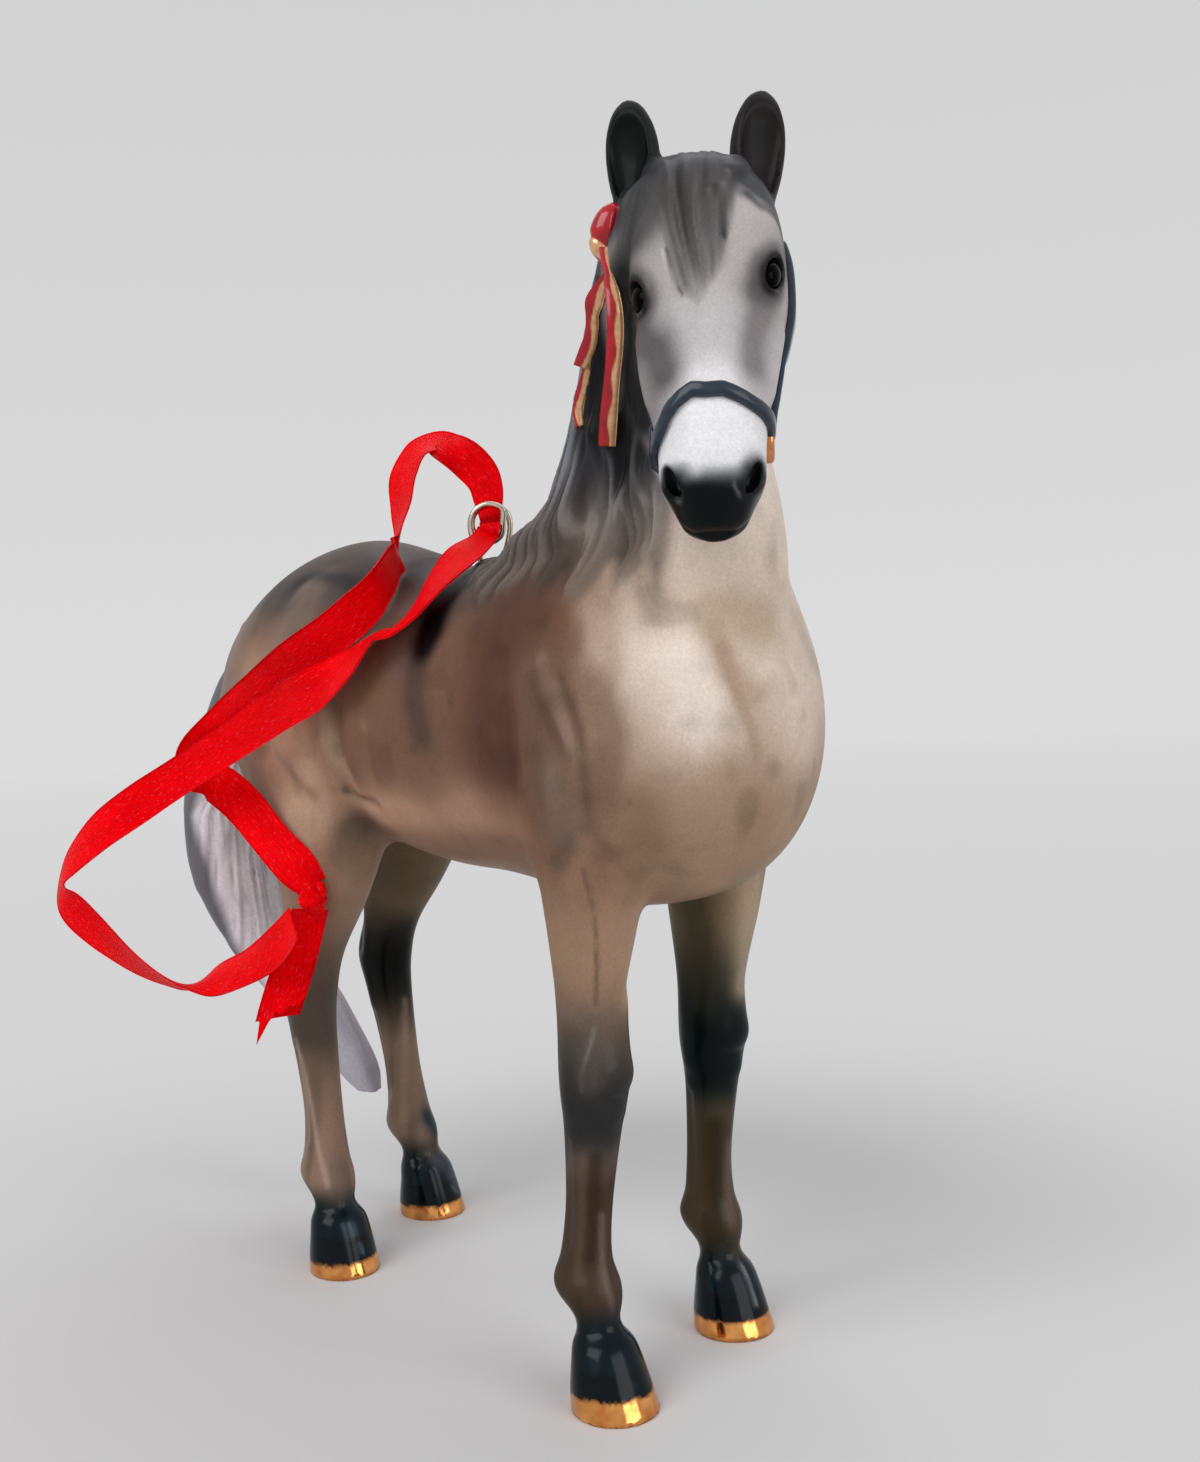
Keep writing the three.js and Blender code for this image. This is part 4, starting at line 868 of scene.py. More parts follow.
TETRAHEDRON = np.array([(1, -1, -1), (-1, -1, 1), (-1, 1, -1), (1, 1, 1)], float)
SLOPE_STEP = 0.25  # of the grid's step, to each corner of the tetrahedron
LEAST_SLOPE_SQUARED = 0.15
LONGEST_MOVE = 0.6  # of the grid's step


def slope_of(field, points, width):
    """(the field round some points, its slope there)."""
    values = [field(points + c * width) for c in TETRAHEDRON]
    slope = sum(v[:, None] * c for v, c in zip(values, TETRAHEDRON)) / (4 * width)
    return sum(values) / 4, slope


def settle(field, points, rounds, step):
    """Moves points onto the surface of a field."""
    for _ in range(rounds):
        d, slope = slope_of(field, points, step * SLOPE_STEP)
        move = slope * (d / np.maximum((slope**2).sum(1), LEAST_SLOPE_SQUARED))[:, None]
        size = np.linalg.norm(move, axis=1)
        points = points - move * np.minimum(1, LONGEST_MOVE * step / np.maximum(size, 1e-9))[:, None]
    return points


def drop_crumbs(points, quads):
    """Keeps the largest connected part."""
    label = np.arange(len(points))
    while True:
        low = label[quads].min(1)
        new = label.copy()
        for k in range(4):
            np.minimum.at(new, quads[:, k], low)
        new = new[new]
        if (new == label).all():
            break
        label = new
    keep = label == np.bincount(label).argmax()
    index = np.cumsum(keep) - 1
    return points[keep], index[quads[keep[quads[:, 0]]]]


def skin_of(field, low, high, step):
    """(points, quads) of a field's surface in a box."""
    low = np.asarray(low, float)
    points, quads = surface_net(sample_grid(field, low, high, step), low, step)
    points, quads = drop_crumbs(points, quads)
    return settle(field, points, 2, step), quads


# Objects
def mesh_object(name, points, faces, body="figure"):
    """A smooth piece from points in the part's millimetres, riding on a body of the frame."""
    mesh = bpy.data.meshes.new(name)
    faces = np.asarray(faces)
    mesh.vertices.add(len(points))
    mesh.vertices.foreach_set("co", to_row(points).astype(np.float32).ravel())
    mesh.loops.add(faces.size)
    mesh.loops.foreach_set("vertex_index", faces.astype(np.int32).ravel())
    mesh.polygons.add(len(faces))
    mesh.polygons.foreach_set("loop_start", np.arange(0, faces.size, faces.shape[1], dtype=np.int32))
    mesh.update(calc_edges=True)
    mesh.validate()
    mesh.polygons.foreach_set("use_smooth", np.ones(len(mesh.polygons), bool))
    piece = add_object(name, mesh)
    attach(piece, body)
    return piece


def dress(piece, material, slot, *nodes):
    """Gives a piece its material, and hides the CAD nodes that it replaces."""
    piece.data.materials.append(material)
    if nodes:
        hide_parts(*nodes)
    return piece


def from_srgb(rgb):
    """Linear light of sRGB colours that run from 0 to 255."""
    c = np.clip(np.asarray(rgb, float), 0, 255) / 255
    return np.where(c <= 0.04045, c / 12.92, ((c + 0.055) / 1.055) ** 2.4)


def colour_layer(piece, name, rgb):
    """A colour for each point, given as sRGB."""
    layer = piece.data.color_attributes.new(name, "FLOAT_COLOR", "POINT")
    layer.data.foreach_set("color", np.c_[from_srgb(rgb), np.ones(len(rgb))].astype(np.float32).ravel())


def value_layer(piece, name, values):
    """A number for each point, or one for all of them."""
    layer = piece.data.attributes.new(name, "FLOAT", "POINT")
    layer.data.foreach_set("value", np.full(len(layer.data), values, np.float32))


def closed_rings(rings, start, stop):
    """(points, triangles) of a skin through rings of points, from one end point to the other."""
    count, sides, _ = rings.shape
    here = np.arange(sides)
    there = (here + 1) % sides
    last = (count - 1) * sides
    faces = [(np.full(sides, last + sides), here, there)]
    for base in range(0, last, sides):
        faces.append((base + here, base + sides + here, base + sides + there))
        faces.append((base + here, base + sides + there, base + there))
    faces.append((np.full(sides, last + sides + 1), last + there, last + here))
    points = np.concatenate([rings.reshape(-1, 3), [start, stop]])
    return points, np.concatenate([np.stack(f, 1) for f in faces])


# Materials
COLOUR_MIX_SOCKETS = (0, 6, 7)  # of a mix node: its factor and its two colours


class Nodes:
    """A material's nodes, added one by one."""

    def __init__(self, name):
        self.material = bpy.data.materials.new(name)
        self.material.use_nodes = True
        self.tree = self.material.node_tree
        self.shader = self.tree.nodes["Principled BSDF"]

    def add(self, kind, **settings):
        node = self.tree.nodes.new(kind)
        for key, value in settings.items():
            setattr(node, key, value)
        return node

    def link(self, source, target):
        self.tree.links.new(source, target)

    def fill(self, socket, value):
        """Links another node's output to a socket, or sets its value."""
        if isinstance(value, bpy.types.NodeSocket):
            self.link(value, socket)
        else:
            socket.default_value = value

    def feed(self, node, **inputs):
        for key, value in inputs.items():
            self.fill(node.inputs[key.replace("_", " ")], value)
        return node

    def attribute(self, name, output="Color"):
        return self.add("ShaderNodeAttribute", attribute_name=name).outputs[output]

    def place(self):
        return self.add("ShaderNodeTexCoord").outputs["Object"]

    def noise(self, size_mm, detail=2, rough=0.5):
        node = self.add("ShaderNodeTexNoise")
        self.feed(node, Vector=self.place(), Scale=MM_IN_M / size_mm, Detail=detail, Roughness=rough)
        return node.outputs["Fac"]

    def spread(self, value, low, high, start=0.3, stop=0.7):
        node = self.add("ShaderNodeMapRange")
        self.feed(node, Value=value, From_Min=start, From_Max=stop, To_Min=low, To_Max=high)
        return node.outputs[0]

    def sum(self, operation, a, b):
        node = self.add("ShaderNodeMath", operation=operation)
        self.fill(node.inputs[0], a)
        self.fill(node.inputs[1], b)
        return node.outputs[0]

    def times(self, a, b):
        return self.sum("MULTIPLY", a, b)

    def mix(self, factor, a, b, blend="MIX"):
        node = self.add("ShaderNodeMix", data_type="RGBA", blend_type=blend)
        for index, value in zip(COLOUR_MIX_SOCKETS, (factor, a, b)):
            self.fill(node.inputs[index], value)
        return node.outputs[2]

    def shaded(self, colour, shade):
        """A colour times a number."""
        return self.mix(1.0, colour, self.grey(shade), "MULTIPLY")

    def blend(self, factor, a, b):
        """Two surfaces mixed."""
        node = self.add("ShaderNodeMixShader")
        for socket, value in zip(node.inputs, (factor, a, b)):
            self.fill(socket, value)
        return node.outputs[0]

    def grey(self, value):
        node = self.add("ShaderNodeCombineColor")
        for k in range(3):
            self.link(value, node.inputs[k])
        return node.outputs[0]

    def bump(self, height, strength, distance_mm):
        node = self.add("ShaderNodeBump")
        self.feed(node, Height=height, Strength=strength, Distance=distance_mm / MM_IN_M)
        self.link(node.outputs[0], self.shader.inputs["Normal"])

    def set(self, **inputs):
        self.feed(self.shader, **inputs)


def linear(r, g, b):
    return (*from_srgb((r, g, b)).tolist(), 1.0)


def glaze_material():
    """Airbrushed stain with painted shade and highlights under a satin glaze, and gold with painted
    reflection; "paint", "gloss" and "gold" come with the mesh.
    """
    m = Nodes("airbrushed_glaze")
    stipple = m.spread(m.noise(0.2, 3, 0.65), 0.92, 1.08)
    cloud = m.spread(m.noise(1.6, 3, 0.6), 0.95, 1.05)
    fine = m.spread(m.noise(0.08, 1, 0.5), 0.95, 1.05)
    colour = m.shaded(m.attribute("paint"), m.times(m.times(stipple, cloud), fine))
    gloss = m.attribute("gloss", "Fac")
    gold = m.attribute("gold", "Fac")
    rough = m.spread(gloss, 0.55, 0.12, 0, 1)
    # patches of two gold tones stand in for a room reflected in the gold: painted reflection
    gold_with_painted_reflection = m.mix(m.spread(m.noise(1.3, 2), 0, 1), linear(244, 174, 100), linear(206, 128, 66))
    colour = m.mix(gold, colour, gold_with_painted_reflection)
    rough = m.spread(gold, m.times(rough, m.spread(m.noise(2.2, 2), 0.9, 1.12)), 0.13, 0, 1)
    m.set(Base_Color=colour, Roughness=rough, Metallic=gold, IOR=1.5, Specular_IOR_Level=0.09)
    m.set(Coat_Weight=m.times(gloss, 0.15), Coat_Roughness=0.12)
    m.bump(m.noise(0.5, 3, 0.6), 0.12, 0.06)
    return m.material


def plain_material(name, rgb, rough, vary, size, bump, metal=0.0, coat=0.0, shine=0.5):
    """One colour, whose shade and gloss vary by patches of a size in mm."""
    m = Nodes(name)
    shade = m.spread(m.noise(size, 3, 0.6), 1 - vary, 1 + vary)
    m.set(Base_Color=m.shaded(linear(*rgb), shade), Metallic=metal, Specular_IOR_Level=shine)
    m.set(Roughness=m.spread(m.noise(size * 1.7, 2), rough * 0.85, min(rough * 1.2, 1)))
    m.set(Coat_Weight=coat, Coat_Roughness=0.05)
    m.bump(m.noise(size * 0.6, 3, 0.6), bump, 0.05)
    return m.material


# The satin ribbon, its two strands first
RIBBON_THICK = 0.17
EYE_MIDDLE = np.array([*PLUG_XY, 58.4])
RING_STATION = 25  # the row of RIBBON_LOOP that lies in the eye


def lengths_along(line):
    """How far along a line each of its points is."""
    return np.r_[0, np.cumsum(np.linalg.norm(np.diff(line, axis=0), axis=1))]


def points_at(line, along, at):
    """Points of a line at some lengths along it."""
    return np.stack([np.interp(at, along, line[:, k]) for k in range(3)], 1)


def strip_mesh(table, thick, half, columns, per, cup, flutter=0.0, end=None):
    """A band of cloth: points, quads, places across from -1 to 1, mm along, and its middle line.

    It bows by cup and flutters, and end, a function of the place across, says how long it is there.
    """
    rows = smooth_rows(table, per)
    middle, edge = rows[:, :3], rows[:, 3:6] * half
    run = unit(np.gradient(middle, axis=0))
    size = np.linalg.norm(edge, axis=1)
    edge = edge - run * (edge * run).sum(1)[:, None]
    edge *= (size / np.linalg.norm(edge, axis=1))[:, None]
    face = unit(np.cross(run, edge))
    along = lengths_along(middle)
    across = np.linspace(-1, 1, columns)
    sheets = []
    for hand in (1, -1):
        sheet = np.empty((len(rows), columns, 3))
        for j, u in enumerate(across):
            place = np.stack([along / 3.1, np.full(len(along), u * 0.7), along * 0], 1)
            bow = cup * (1 - u * u) * np.sin(along / 6.0) + flutter * noise(place, 1.0, 31)
            line = middle + edge * u + face * (bow + hand * thick / 2 * (1 - 0.35 * u**8))[:, None]
            if end is not None:
                line = points_at(line, along, along / along[-1] * end(u))
            sheet[:, j] = line
        sheets.append(sheet)
    n, c = len(rows), columns
    points = np.concatenate([s.reshape(-1, 3) for s in sheets])
    quads = []
    base = n * c
    for i in range(n - 1):
        for j in range(c - 1):
            a = i * c + j
            quads.append((a, a + 1, a + c + 1, a + c))
            quads.append((base + a, base + a + c, base + a + c + 1, base + a + 1))
        for j, flip in ((0, True), (c - 1, False)):
            a = i * c + j
            q = (a, a + c, base + a + c, base + a)
            quads.append(q[::-1] if flip else q)
    for i, flip in ((0, False), (n - 1, True)):
        for j in range(c - 1):
            a = i * c + j
            q = (a, base + a, base + a + 1, a + 1)
            quads.append(q[::-1] if flip else q)
    return points, np.array(quads), np.tile(across, 2 * n), np.tile(np.repeat(along, c), 2), middle


SELVEDGE_MM = RIBBON_WIDTH / 2  # from the middle line to an edge, where "across" is 1
WEFT_MM, WARP_MM = 0.17, 0.14  # from one thread to the next


def satin_material():
    """Woven satin: fine long floats, with painted glints and painted shade of its folds in the colour, over
    the threads' own relief.
    """
    m = Nodes("red_satin")
    along, across = m.attribute("along", "Fac"), m.attribute("across", "Fac")

    def floating(length, width, detail=2, seed=0.0):
        """Noise drawn out along the ribbon."""
        where = m.add("ShaderNodeCombineXYZ")
        places = (m.times(along, 1 / length), m.times(across, SELVEDGE_MM / width), seed)
        for socket, value in zip(where.inputs, places):
            m.fill(socket, value)
        node = m.feed(m.add("ShaderNodeTexNoise"), Vector=where.outputs[0], Scale=1.0, Detail=detail)
        return node.outputs["Fac"]

    def threads(place, scale):
        return m.sum("SINE", m.times(place, scale * 2 * math.pi), 0.0)

    floats = floating(0.85, 0.12)
    # pale pink dashes mixed into the red are painted glints
    painted_glint = m.spread(floating(0.6, 0.09, 1, 7.0), 0, 1, 0.64, 0.76)
    # the colour's slow rise and fall along the ribbon is painted shade of its folds
    fold = m.spread(floating(5.0, 1.6, 2, 3.0), 0.86, 1.06)
    red = m.shaded(linear(255, 2, 12), m.times(m.spread(floats, 0.82, 1.1), fold))
    red = m.mix(m.times(painted_glint, 0.55), red, linear(255, 96, 112))
    m.set(Base_Color=red, Roughness=m.spread(floats, 0.34, 0.5), Anisotropic=0.5)
    m.set(Sheen_Weight=0.06, Sheen_Roughness=0.35, Sheen_Tint=linear(255, 40, 60))
    m.set(Specular_IOR_Level=0.12, Specular_Tint=linear(255, 60, 70))
    weft, warp = threads(along, 1 / WEFT_MM), threads(across, SELVEDGE_MM / WARP_MM)
    height = m.sum("ADD", m.times(weft, 0.25), m.times(warp, 0.2))
    m.bump(m.sum("ADD", height, m.times(floats, 1.6)), 0.55, 0.035)
    return m.material


SATIN = satin_material()


def satin_piece(name, points, faces, across, along, node):
    piece = mesh_object(name, points, faces, "ribbon")
    value_layer(piece, "across", across)
    value_layer(piece, "along", along)
    return dress(piece, SATIN, "satin", node)


def ribbon_strip(name, table, node, **shape):
    """(the piece, its middle line)."""
    *strip, middle = strip_mesh(table, RIBBON_THICK, RIBBON_WIDTH / 2, columns=11, per=9, **shape)
    return satin_piece(name, *strip, node), middle


def cord_path(middle, count=36):
    """(a strand's middle line as evenly spread points, its length), in row-frame metres."""
    along = lengths_along(middle)
    line = points_at(middle, along, np.linspace(0, along[-1], count))
    return to_row(line).tolist(), float(along[-1]) / MM_IN_M


STRAND = {"cup": 0.12, "flutter": 0.05}
BACK_STRAND, FRONT_STRAND = RIBBON_LOOP[: RING_STATION + 1][::-1], RIBBON_LOOP[RING_STATION:]
back_strand, back_line = ribbon_strip("ribbon_strand_back", BACK_STRAND, "ribbon_loop", **STRAND)
front_strand, front_line = ribbon_strip("ribbon_strand_front", FRONT_STRAND, "ribbon_loop", **STRAND)


def front_end(u):
    """How far down the front tail its cut edge is, at a place across: a torn corner ends in a thread."""
    return 8.5 - 1.1 * u - 0.5 * u * u + 0.25 * math.sin(11 * u) + 2.4 * bell((u + 0.62) / 0.16)


def back_end(u):
    return 8.2 - 0.7 * u


front_tail, _ = ribbon_strip(
    "ribbon_front_tail", RIBBON_TAIL_FRONT, "ribbon_tail_front", cup=0.1, end=front_end
)
back_tail, _ = ribbon_strip("ribbon_back_tail", RIBBON_TAIL_BACK, "ribbon_tail_back", cup=0.1, end=back_end)

# The knot: the ribbon drawn tight over itself, in three turns
KNOT_AT = np.array([-9.5, 14.5, 30.7])


def knot_field(p):
    lump = ellipsoid(p, KNOT_AT, (1.22, 1.12, 1.3))
    q = p - KNOT_AT
    turn = np.arctan2(q[:, 2] + 0.4 * q[:, 0], q[:, 0] - 0.3)
    folds = np.sin(5 * turn + 2.2 * q[:, 1]) * 0.12 + 0.1 * noise(p, 0.8, 41)
    return lump + 0.25 * bell((q[:, 2] + 0.35 * q[:, 0] + 0.25) / 0.22) + folds


_points, _faces = skin_of(knot_field, KNOT_AT - 2, KNOT_AT + 2, 0.1)
_x, _, _z = (_points - KNOT_AT).T
knot = satin_piece("ribbon_drawn_knot", _points, _faces, _x / 1.6, _z * 1.3, "ribbon_knot")

for _strand, _line, _with in (
    (back_strand, back_line, [knot, back_tail]),
    (front_strand, front_line, [front_tail]),
):
    _path, _length = cord_path(_line)
    to_row(EYE_MIDDLE).tolist()
    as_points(_path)
    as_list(_with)


# Paint: colours are what the glazed clay shows, as sRGB from 0 to 255, painted shade and highlights among
# them
EYES = {hand: eye_frame(hand, place) for hand, place in EYE_PLACES.items()}


def over(base, rgb, mask):
    """A colour, or one for each point, covered by another as far as the mask says."""
    base = np.asarray(base, float)
    return base + (np.asarray(rgb, float) - base) * np.clip(mask, 0, 1)[:, None]


def airbrush(points, base, strokes):
    """Lays strokes of (route, radius, colour, strength) over a colour, in their order."""
    for route, radius, rgb, strength in strokes:
        base = over(base, rgb, strength * np.minimum(1, 1.2 * stroke(points, route, radius)))
    return base


def mirrored(strokes):
    return strokes + [([(-x, y, z) for x, y, z in route], *rest) for route, *rest in strokes]


# Barrel, shoulder and hindquarters, on both sides: coat tones, with painted shade in a carved groove, hollows
# and creases and a painted highlight on a ridge
FLANK_PAINT = mirrored([
    ([(-8.9, -8.8, 38.2), (-8.3, 2, 36.8), (-8, 9, 37)], 2.6, (204, 166, 140), 0.8),
    ([(-8.1, -10, 49.8), (-9.2, -10.5, 46), (-9.6, -9.5, 42)], 4.6, (84, 53, 41), 0.85),
    ([(-9, 2, 45), (-9.2, 0, 40)], 3.0, (116, 86, 70), 0.5),
    ([(-6.6, -11.6, 52.2), (-8.1, -13.5, 50.1), (-9.4, -12.4, 47)], 1.7, (92, 60, 48), 0.6),
    ([(-7, 15.8, 54.6), (-8.4, 15.3, 52.4), (-9, 16.9, 51.2)], 2.5, (128, 110, 100), 0.8),
    # painted shade in the croup's carved groove
    ([(-6.7, 18.6, 55.2), (-6.4, 16.2, 55.5), (-6.2, 13, 55), (-6.3, 11, 54.4)], 0.8, (44, 40, 40), 0.75),
    ([(-7.8, 29.3, 49.2), (-7.3, 27.7, 51.7)], 3.4, (138, 120, 107), 0.85),
    ([(-9, 21, 46), (-9.4, 16, 42), (-8.8, 16, 37)], 4.2, (208, 176, 149), 0.8),
    # painted highlight on the flank's ridge, then painted shade in the hollow beside it
    ([(-9.7, 11.2, 46), (-9.5, 10.8, 42.9), (-8.8, 9.8, 40.3)], 0.9, (178, 156, 134), 0.5),
    ([(-9.7, 9, 45.4), (-9.4, 8.8, 42.4), (-8.7, 8, 40.2)], 0.9, (108, 80, 66), 0.4),
    # painted shade in the stifle's hollow, where the flank meets the thigh, and in the groin crease
    ([(-9.3, 18.3, 41.8), (-8.7, 14.5, 38.6)], 0.7, (140, 118, 96), 0.55),
    ([(-6.4, 11.1, 36.7), (-7.0, 12.1, 35.6), (-7.4, 13.2, 33.4)], 1.5, (66, 57, 48), 0.8),
    ([(-8.2, 11, 38.9), (-8, 9.8, 38.4), (-7.9, 7.3, 37.8)], 0.3, (60, 48, 41), 0.6),
])
# The black blot behind the withers, run down the barrel
BLOT_PAINT = [
    ([(-6, 3.5, 52.5), (-7.5, 3, 50), (-8.4, 2, 48.5)], 1.8, (108, 92, 88), 0.6),
    ([(-8.6, 0.2, 48.1), (-9, 0.1, 45.7), (-9.1, -0.7, 43.3)], 1.3, (56, 44, 43), 0.5),
    ([(-6.2, 0.2, 52.2), (-7.6, -0.4, 50.2), (-8.1, 0, 49.3)], 1.1, (4, 2, 2), 1.0),
    ([(-5.4, 0.6, 53.4), (-6.2, 0.6, 52.2), (-7.6, 0, 50.2)], 1.2, (2, 1, 1), 1.0),
    ([(-6.2, -5.4, 52.5), (-5.9, -6.6, 53), (-5.6, -7.7, 53.5)], 0.35, (40, 38, 40), 0.7),
    ([(-9.6, 5.8, 43.8)], 0.5, (150, 124, 108), 0.4),
]
# Arm, breast and neck: coat tones, with painted shade in the carved creases and hollows and painted
# highlights on the ridges and swellings
BREAST_PAINT = [
    # painted shade in the arm's hollow
    (ARM_HOLLOW, 1.5, (116, 90, 74), 0.6),
    ([(-9.3, -14, 46.6), (-9.4, -15, 42), (-8.8, -15, 38)], 2.6, (116, 94, 80), 0.6),
    ([(-9.3, -12.9, 47.5), (-9.7, -12.5, 43.5), (-9, -12, 39.3), (-8.4, -12.6, 36)],
     0.8, (130, 106, 90), 0.2),
    ([(-9.3, -15.4, 40.6), (-8.8, -15.8, 38.4), (-8.5, -15.4, 37)], 1.3, (132, 114, 104), 0.6),
    # painted shade under the arm's bulge
    ([(-8.3, -15.7, 36.3), (-8.4, -14.2, 34.9)], 0.8, (88, 70, 60), 0.6),
    ([(-8.2, -16.4, 36.1), (-8.1, -14.9, 33.9)], 0.9, (166, 128, 106), 0.5),
    # painted shade in the arm's carved fold and crease
    (ARM_FOLD, 0.5, (88, 66, 54), 0.35),
    (ARM_CREASE, 0.42, (72, 54, 44), 0.42),
    # painted highlight on the arm's ridge
    ([(-9.1, -14.4, 47.8), (-9.5, -16, 45.2), (-9.6, -16.8, 43), (-9.2, -17.2, 41.9)],
     0.55, (170, 148, 132), 0.5),
    # painted shade in the crease by the elbow and at its end
    ([(-8.1, -16.9, 37.4), (-7.6, -17.4, 36.4), (-7.2, -17.7, 35.8)], 0.28, (74, 54, 45), 0.5),
    ([(-6.6, -18.1, 35.5)], 0.18, (40, 28, 22), 0.7),
    ([(-7.3, -16.7, 50.8), (-8, -18.4, 48.8), (-8.3, -19.7, 47)], 1.0, (190, 168, 150), 0.5),
    # painted shadow of the mane's end on the neck, in its hollow
    ([(-4.9, -19, 54.4), (-5.3, -20, 52.2), (-5.8, -21, 50.2)], 1.3, (140, 118, 102), 0.5),
    # the pale breast's swelling, lightened further as a painted highlight
    (BREAST_SWELL, 2.3, (238, 224, 214), 0.8),
    # painted shade in the breast's hollows and crease
    (BREAST_TOP, 1.5, (172, 148, 122), 0.55),
    (BREAST_HOLLOW, 1.0, (168, 142, 117), 0.5),
    (BREAST_CREASE, 0.6, (156, 130, 108), 0.45),
    # painted highlight on the left breast's swelling
    ([(2.8, -24.4, 44.6), (3.2, -24.3, 42)], 2.4, (226, 210, 198), 0.6),
    ([(-0.7, -22.3, 34.7), (-0.2, -23.5, 36.8)], 1.8, (150, 124, 98), 0.55),
    ([(2.7, -23.8, 38)], 2.0, (168, 144, 122), 0.4),
    ([(-6.2, -19.9, 36.2), (-6.9, -20.4, 39)], 1.4, (128, 100, 78), 0.6),
    ([(-3.1, -23.8, 40.3)], 1.2, (170, 144, 120), 0.4),
    ([(-7.6, -20, 38.9)], 0.22, (96, 70, 56), 0.8),
    ([(-9.4, -16.3, 45.4)], 0.12, (225, 215, 205), 0.5),
]
DULL = 0.22  # gloss of the coat
# For each leg, right and left foreleg and then the hind ones: colours of its upper part, knee or hock and
# cannon, and the heights at which the dark begins, is full, begins to end and is gone. The left legs' upper
# colours are darker as painted shade, and their knee or hock colours are dark coat made darker by painted
# shade.
LEG_TONES = [
    ((164, 134, 110), (40, 40, 40), (66, 50, 38), 28.5, 19.6, 17.4, 13.0),
    ((116, 104, 80), (0, 10, 10), (68, 55, 38), 29.8, 22.4, 18.2, 14.2),
    ((158, 132, 110), (88, 77, 67), (140, 114, 97), 30.0, 22.0, 18.8, 13.6),
    ((100, 88, 66), (3, 5, 3), (132, 110, 92), 28.6, 22.4, 21.4, 14.6),
]
# Tendons, and the lights and darks that run down the legs: painted highlights on the lit sides and painted
# shade on the inner sides, as marked
LEG_PAINT = [
    ([(-4.7, -16.2, 33), (-4.5, -15.5, 29), (-4.4, -15, 26)], 1.0, (206, 190, 174), 0.7),
    # painted shadow of the right foreleg and chest on the left foreleg's inner side
    ([(4.6, -12.9, 30.8), (5.1, -13, 27.2), (5.2, -12.8, 23.6)], 1.4, (58, 52, 38), 0.6),
    # painted highlight on the left foreleg's lit front
    ([(6.8, -16.2, 32), (7.4, -15.2, 28.6), (8.1, -14.3, 25.8), (8.3, -13.9, 24.4)],
     1.5, (182, 161, 137), 0.75),
    ([(-8.1, -16, 34.6), (-7.8, -16, 33.4), (-7.3, -16, 31.6), (-7, -15.6, 28.5), (-6.9, -15.2, 25.8)],
     0.14, (90, 72, 60), 0.6),
    ([(-7, -15.1, 24.3), (-7.4, -14.9, 22.9), (-7.7, -14.6, 21.7), (-7.8, -14.5, 20.4)],
     0.13, (170, 168, 166), 0.55),
    ([(-7.3, -15.2, 24.4), (-7.5, -15, 21)], 1.1, (94, 84, 78), 0.5),
    # painted shade on the right knee's inner side, between the forelegs
    ([(-4.4, -14, 24.6), (-4, -13.6, 21), (-4.2, -13.4, 17.6)], 1.0, (14, 24, 34), 0.75),
    # painted highlight: a lit stripe down the right cannon
    ([(-7.5, -13.9, 15.8), (-7.6, -13.6, 12), (-7.9, -13.6, 9.9), (-8.4, -13.9, 8.2)],
     0.36, (104, 84, 69), 0.45),
    ([(-7, -14.6, 15.8), (-7.1, -14.4, 13.2), (-7.2, -14.4, 10.7), (-7.6, -14.3, 9.4)],
     0.45, (34, 24, 16), 0.5),
    # painted highlight down the right cannon, fetlock and hoof
    ([(-6.7, -14.6, 12), (-6.9, -14.7, 9.3), (-7.1, -15.3, 7.5), (-7, -15.9, 5.6), (-6.8, -17.2, 2.8)],
     0.26, (132, 116, 112), 0.5),
    # painted shadow on the left cannon's inner side, then a painted highlight on its front
    ([(6.3, -12.3, 14.4), (6.2, -12.3, 10.2), (5.8, -12.9, 6.7)], 0.6, (36, 30, 16), 0.7),
    ([(7.5, -12.5, 12.7), (7, -12.8, 9.1), (6.7, -13.2, 7.6)], 0.5, (104, 88, 80), 0.7),
    # painted highlight down the right hind cannon
    ([(-7.7, 21.3, 18.2), (-7.5, 20.6, 16.1), (-7.4, 19.8, 12.9), (-7.6, 18.9, 9.9), (-7.5, 17.7, 6.9)],
     0.24, (178, 154, 138), 0.7),
    ([(-8.1, 21.8, 17.4), (-7.9, 20.6, 12.9), (-8, 19.6, 9.9)], 0.3, (86, 66, 56), 0.5),
    # painted highlight down the left hind cannon
    ([(5.5, 24.8, 18.7), (4.5, 24, 13.1), (3.9, 23.7, 8.5)], 0.35, (164, 140, 122), 0.5),
    ([(6.1, 22.8, 8.4), (7, 23, 6.5)], 0.9, (22, 32, 44), 0.85),
]
# painted highlights: pale blue-grey streaks on the dark glossy hooves
HOOF_PAINTED_HIGHLIGHTS = [
    ([(6.8, -13.6, 5.4), (6.8, -14.3, 3.8), (6.8, -15.1, 2.1)], 0.22, (140, 146, 150), 0.75),
    ([(-7.6, -17.2, 4.4), (-7.4, -18, 2.2)], 0.3, (110, 124, 134), 0.6),
    ([(-8.9, -16.8, 4.2), (-8.8, -17.2, 3.4)], 0.4, (66, 80, 92), 0.6),
    ([(-6.6, 15.9, 3.9), (-6.5, 15.7, 3.3)], 0.4, (84, 98, 110), 0.6),
    ([(-6.3, 15.3, 2.6), (-6.2, 15.1, 1.8)], 0.22, (120, 134, 146), 0.6),
    ([(7.4, 21.4, 2.9), (6.8, 21.4, 3.9), (6.2, 21.7, 4.6)], 0.8, (74, 74, 84), 0.7),
    ([(7, 20.8, 2.4), (7.4, 21, 1.8)], 0.25, (118, 122, 130), 0.5),
]


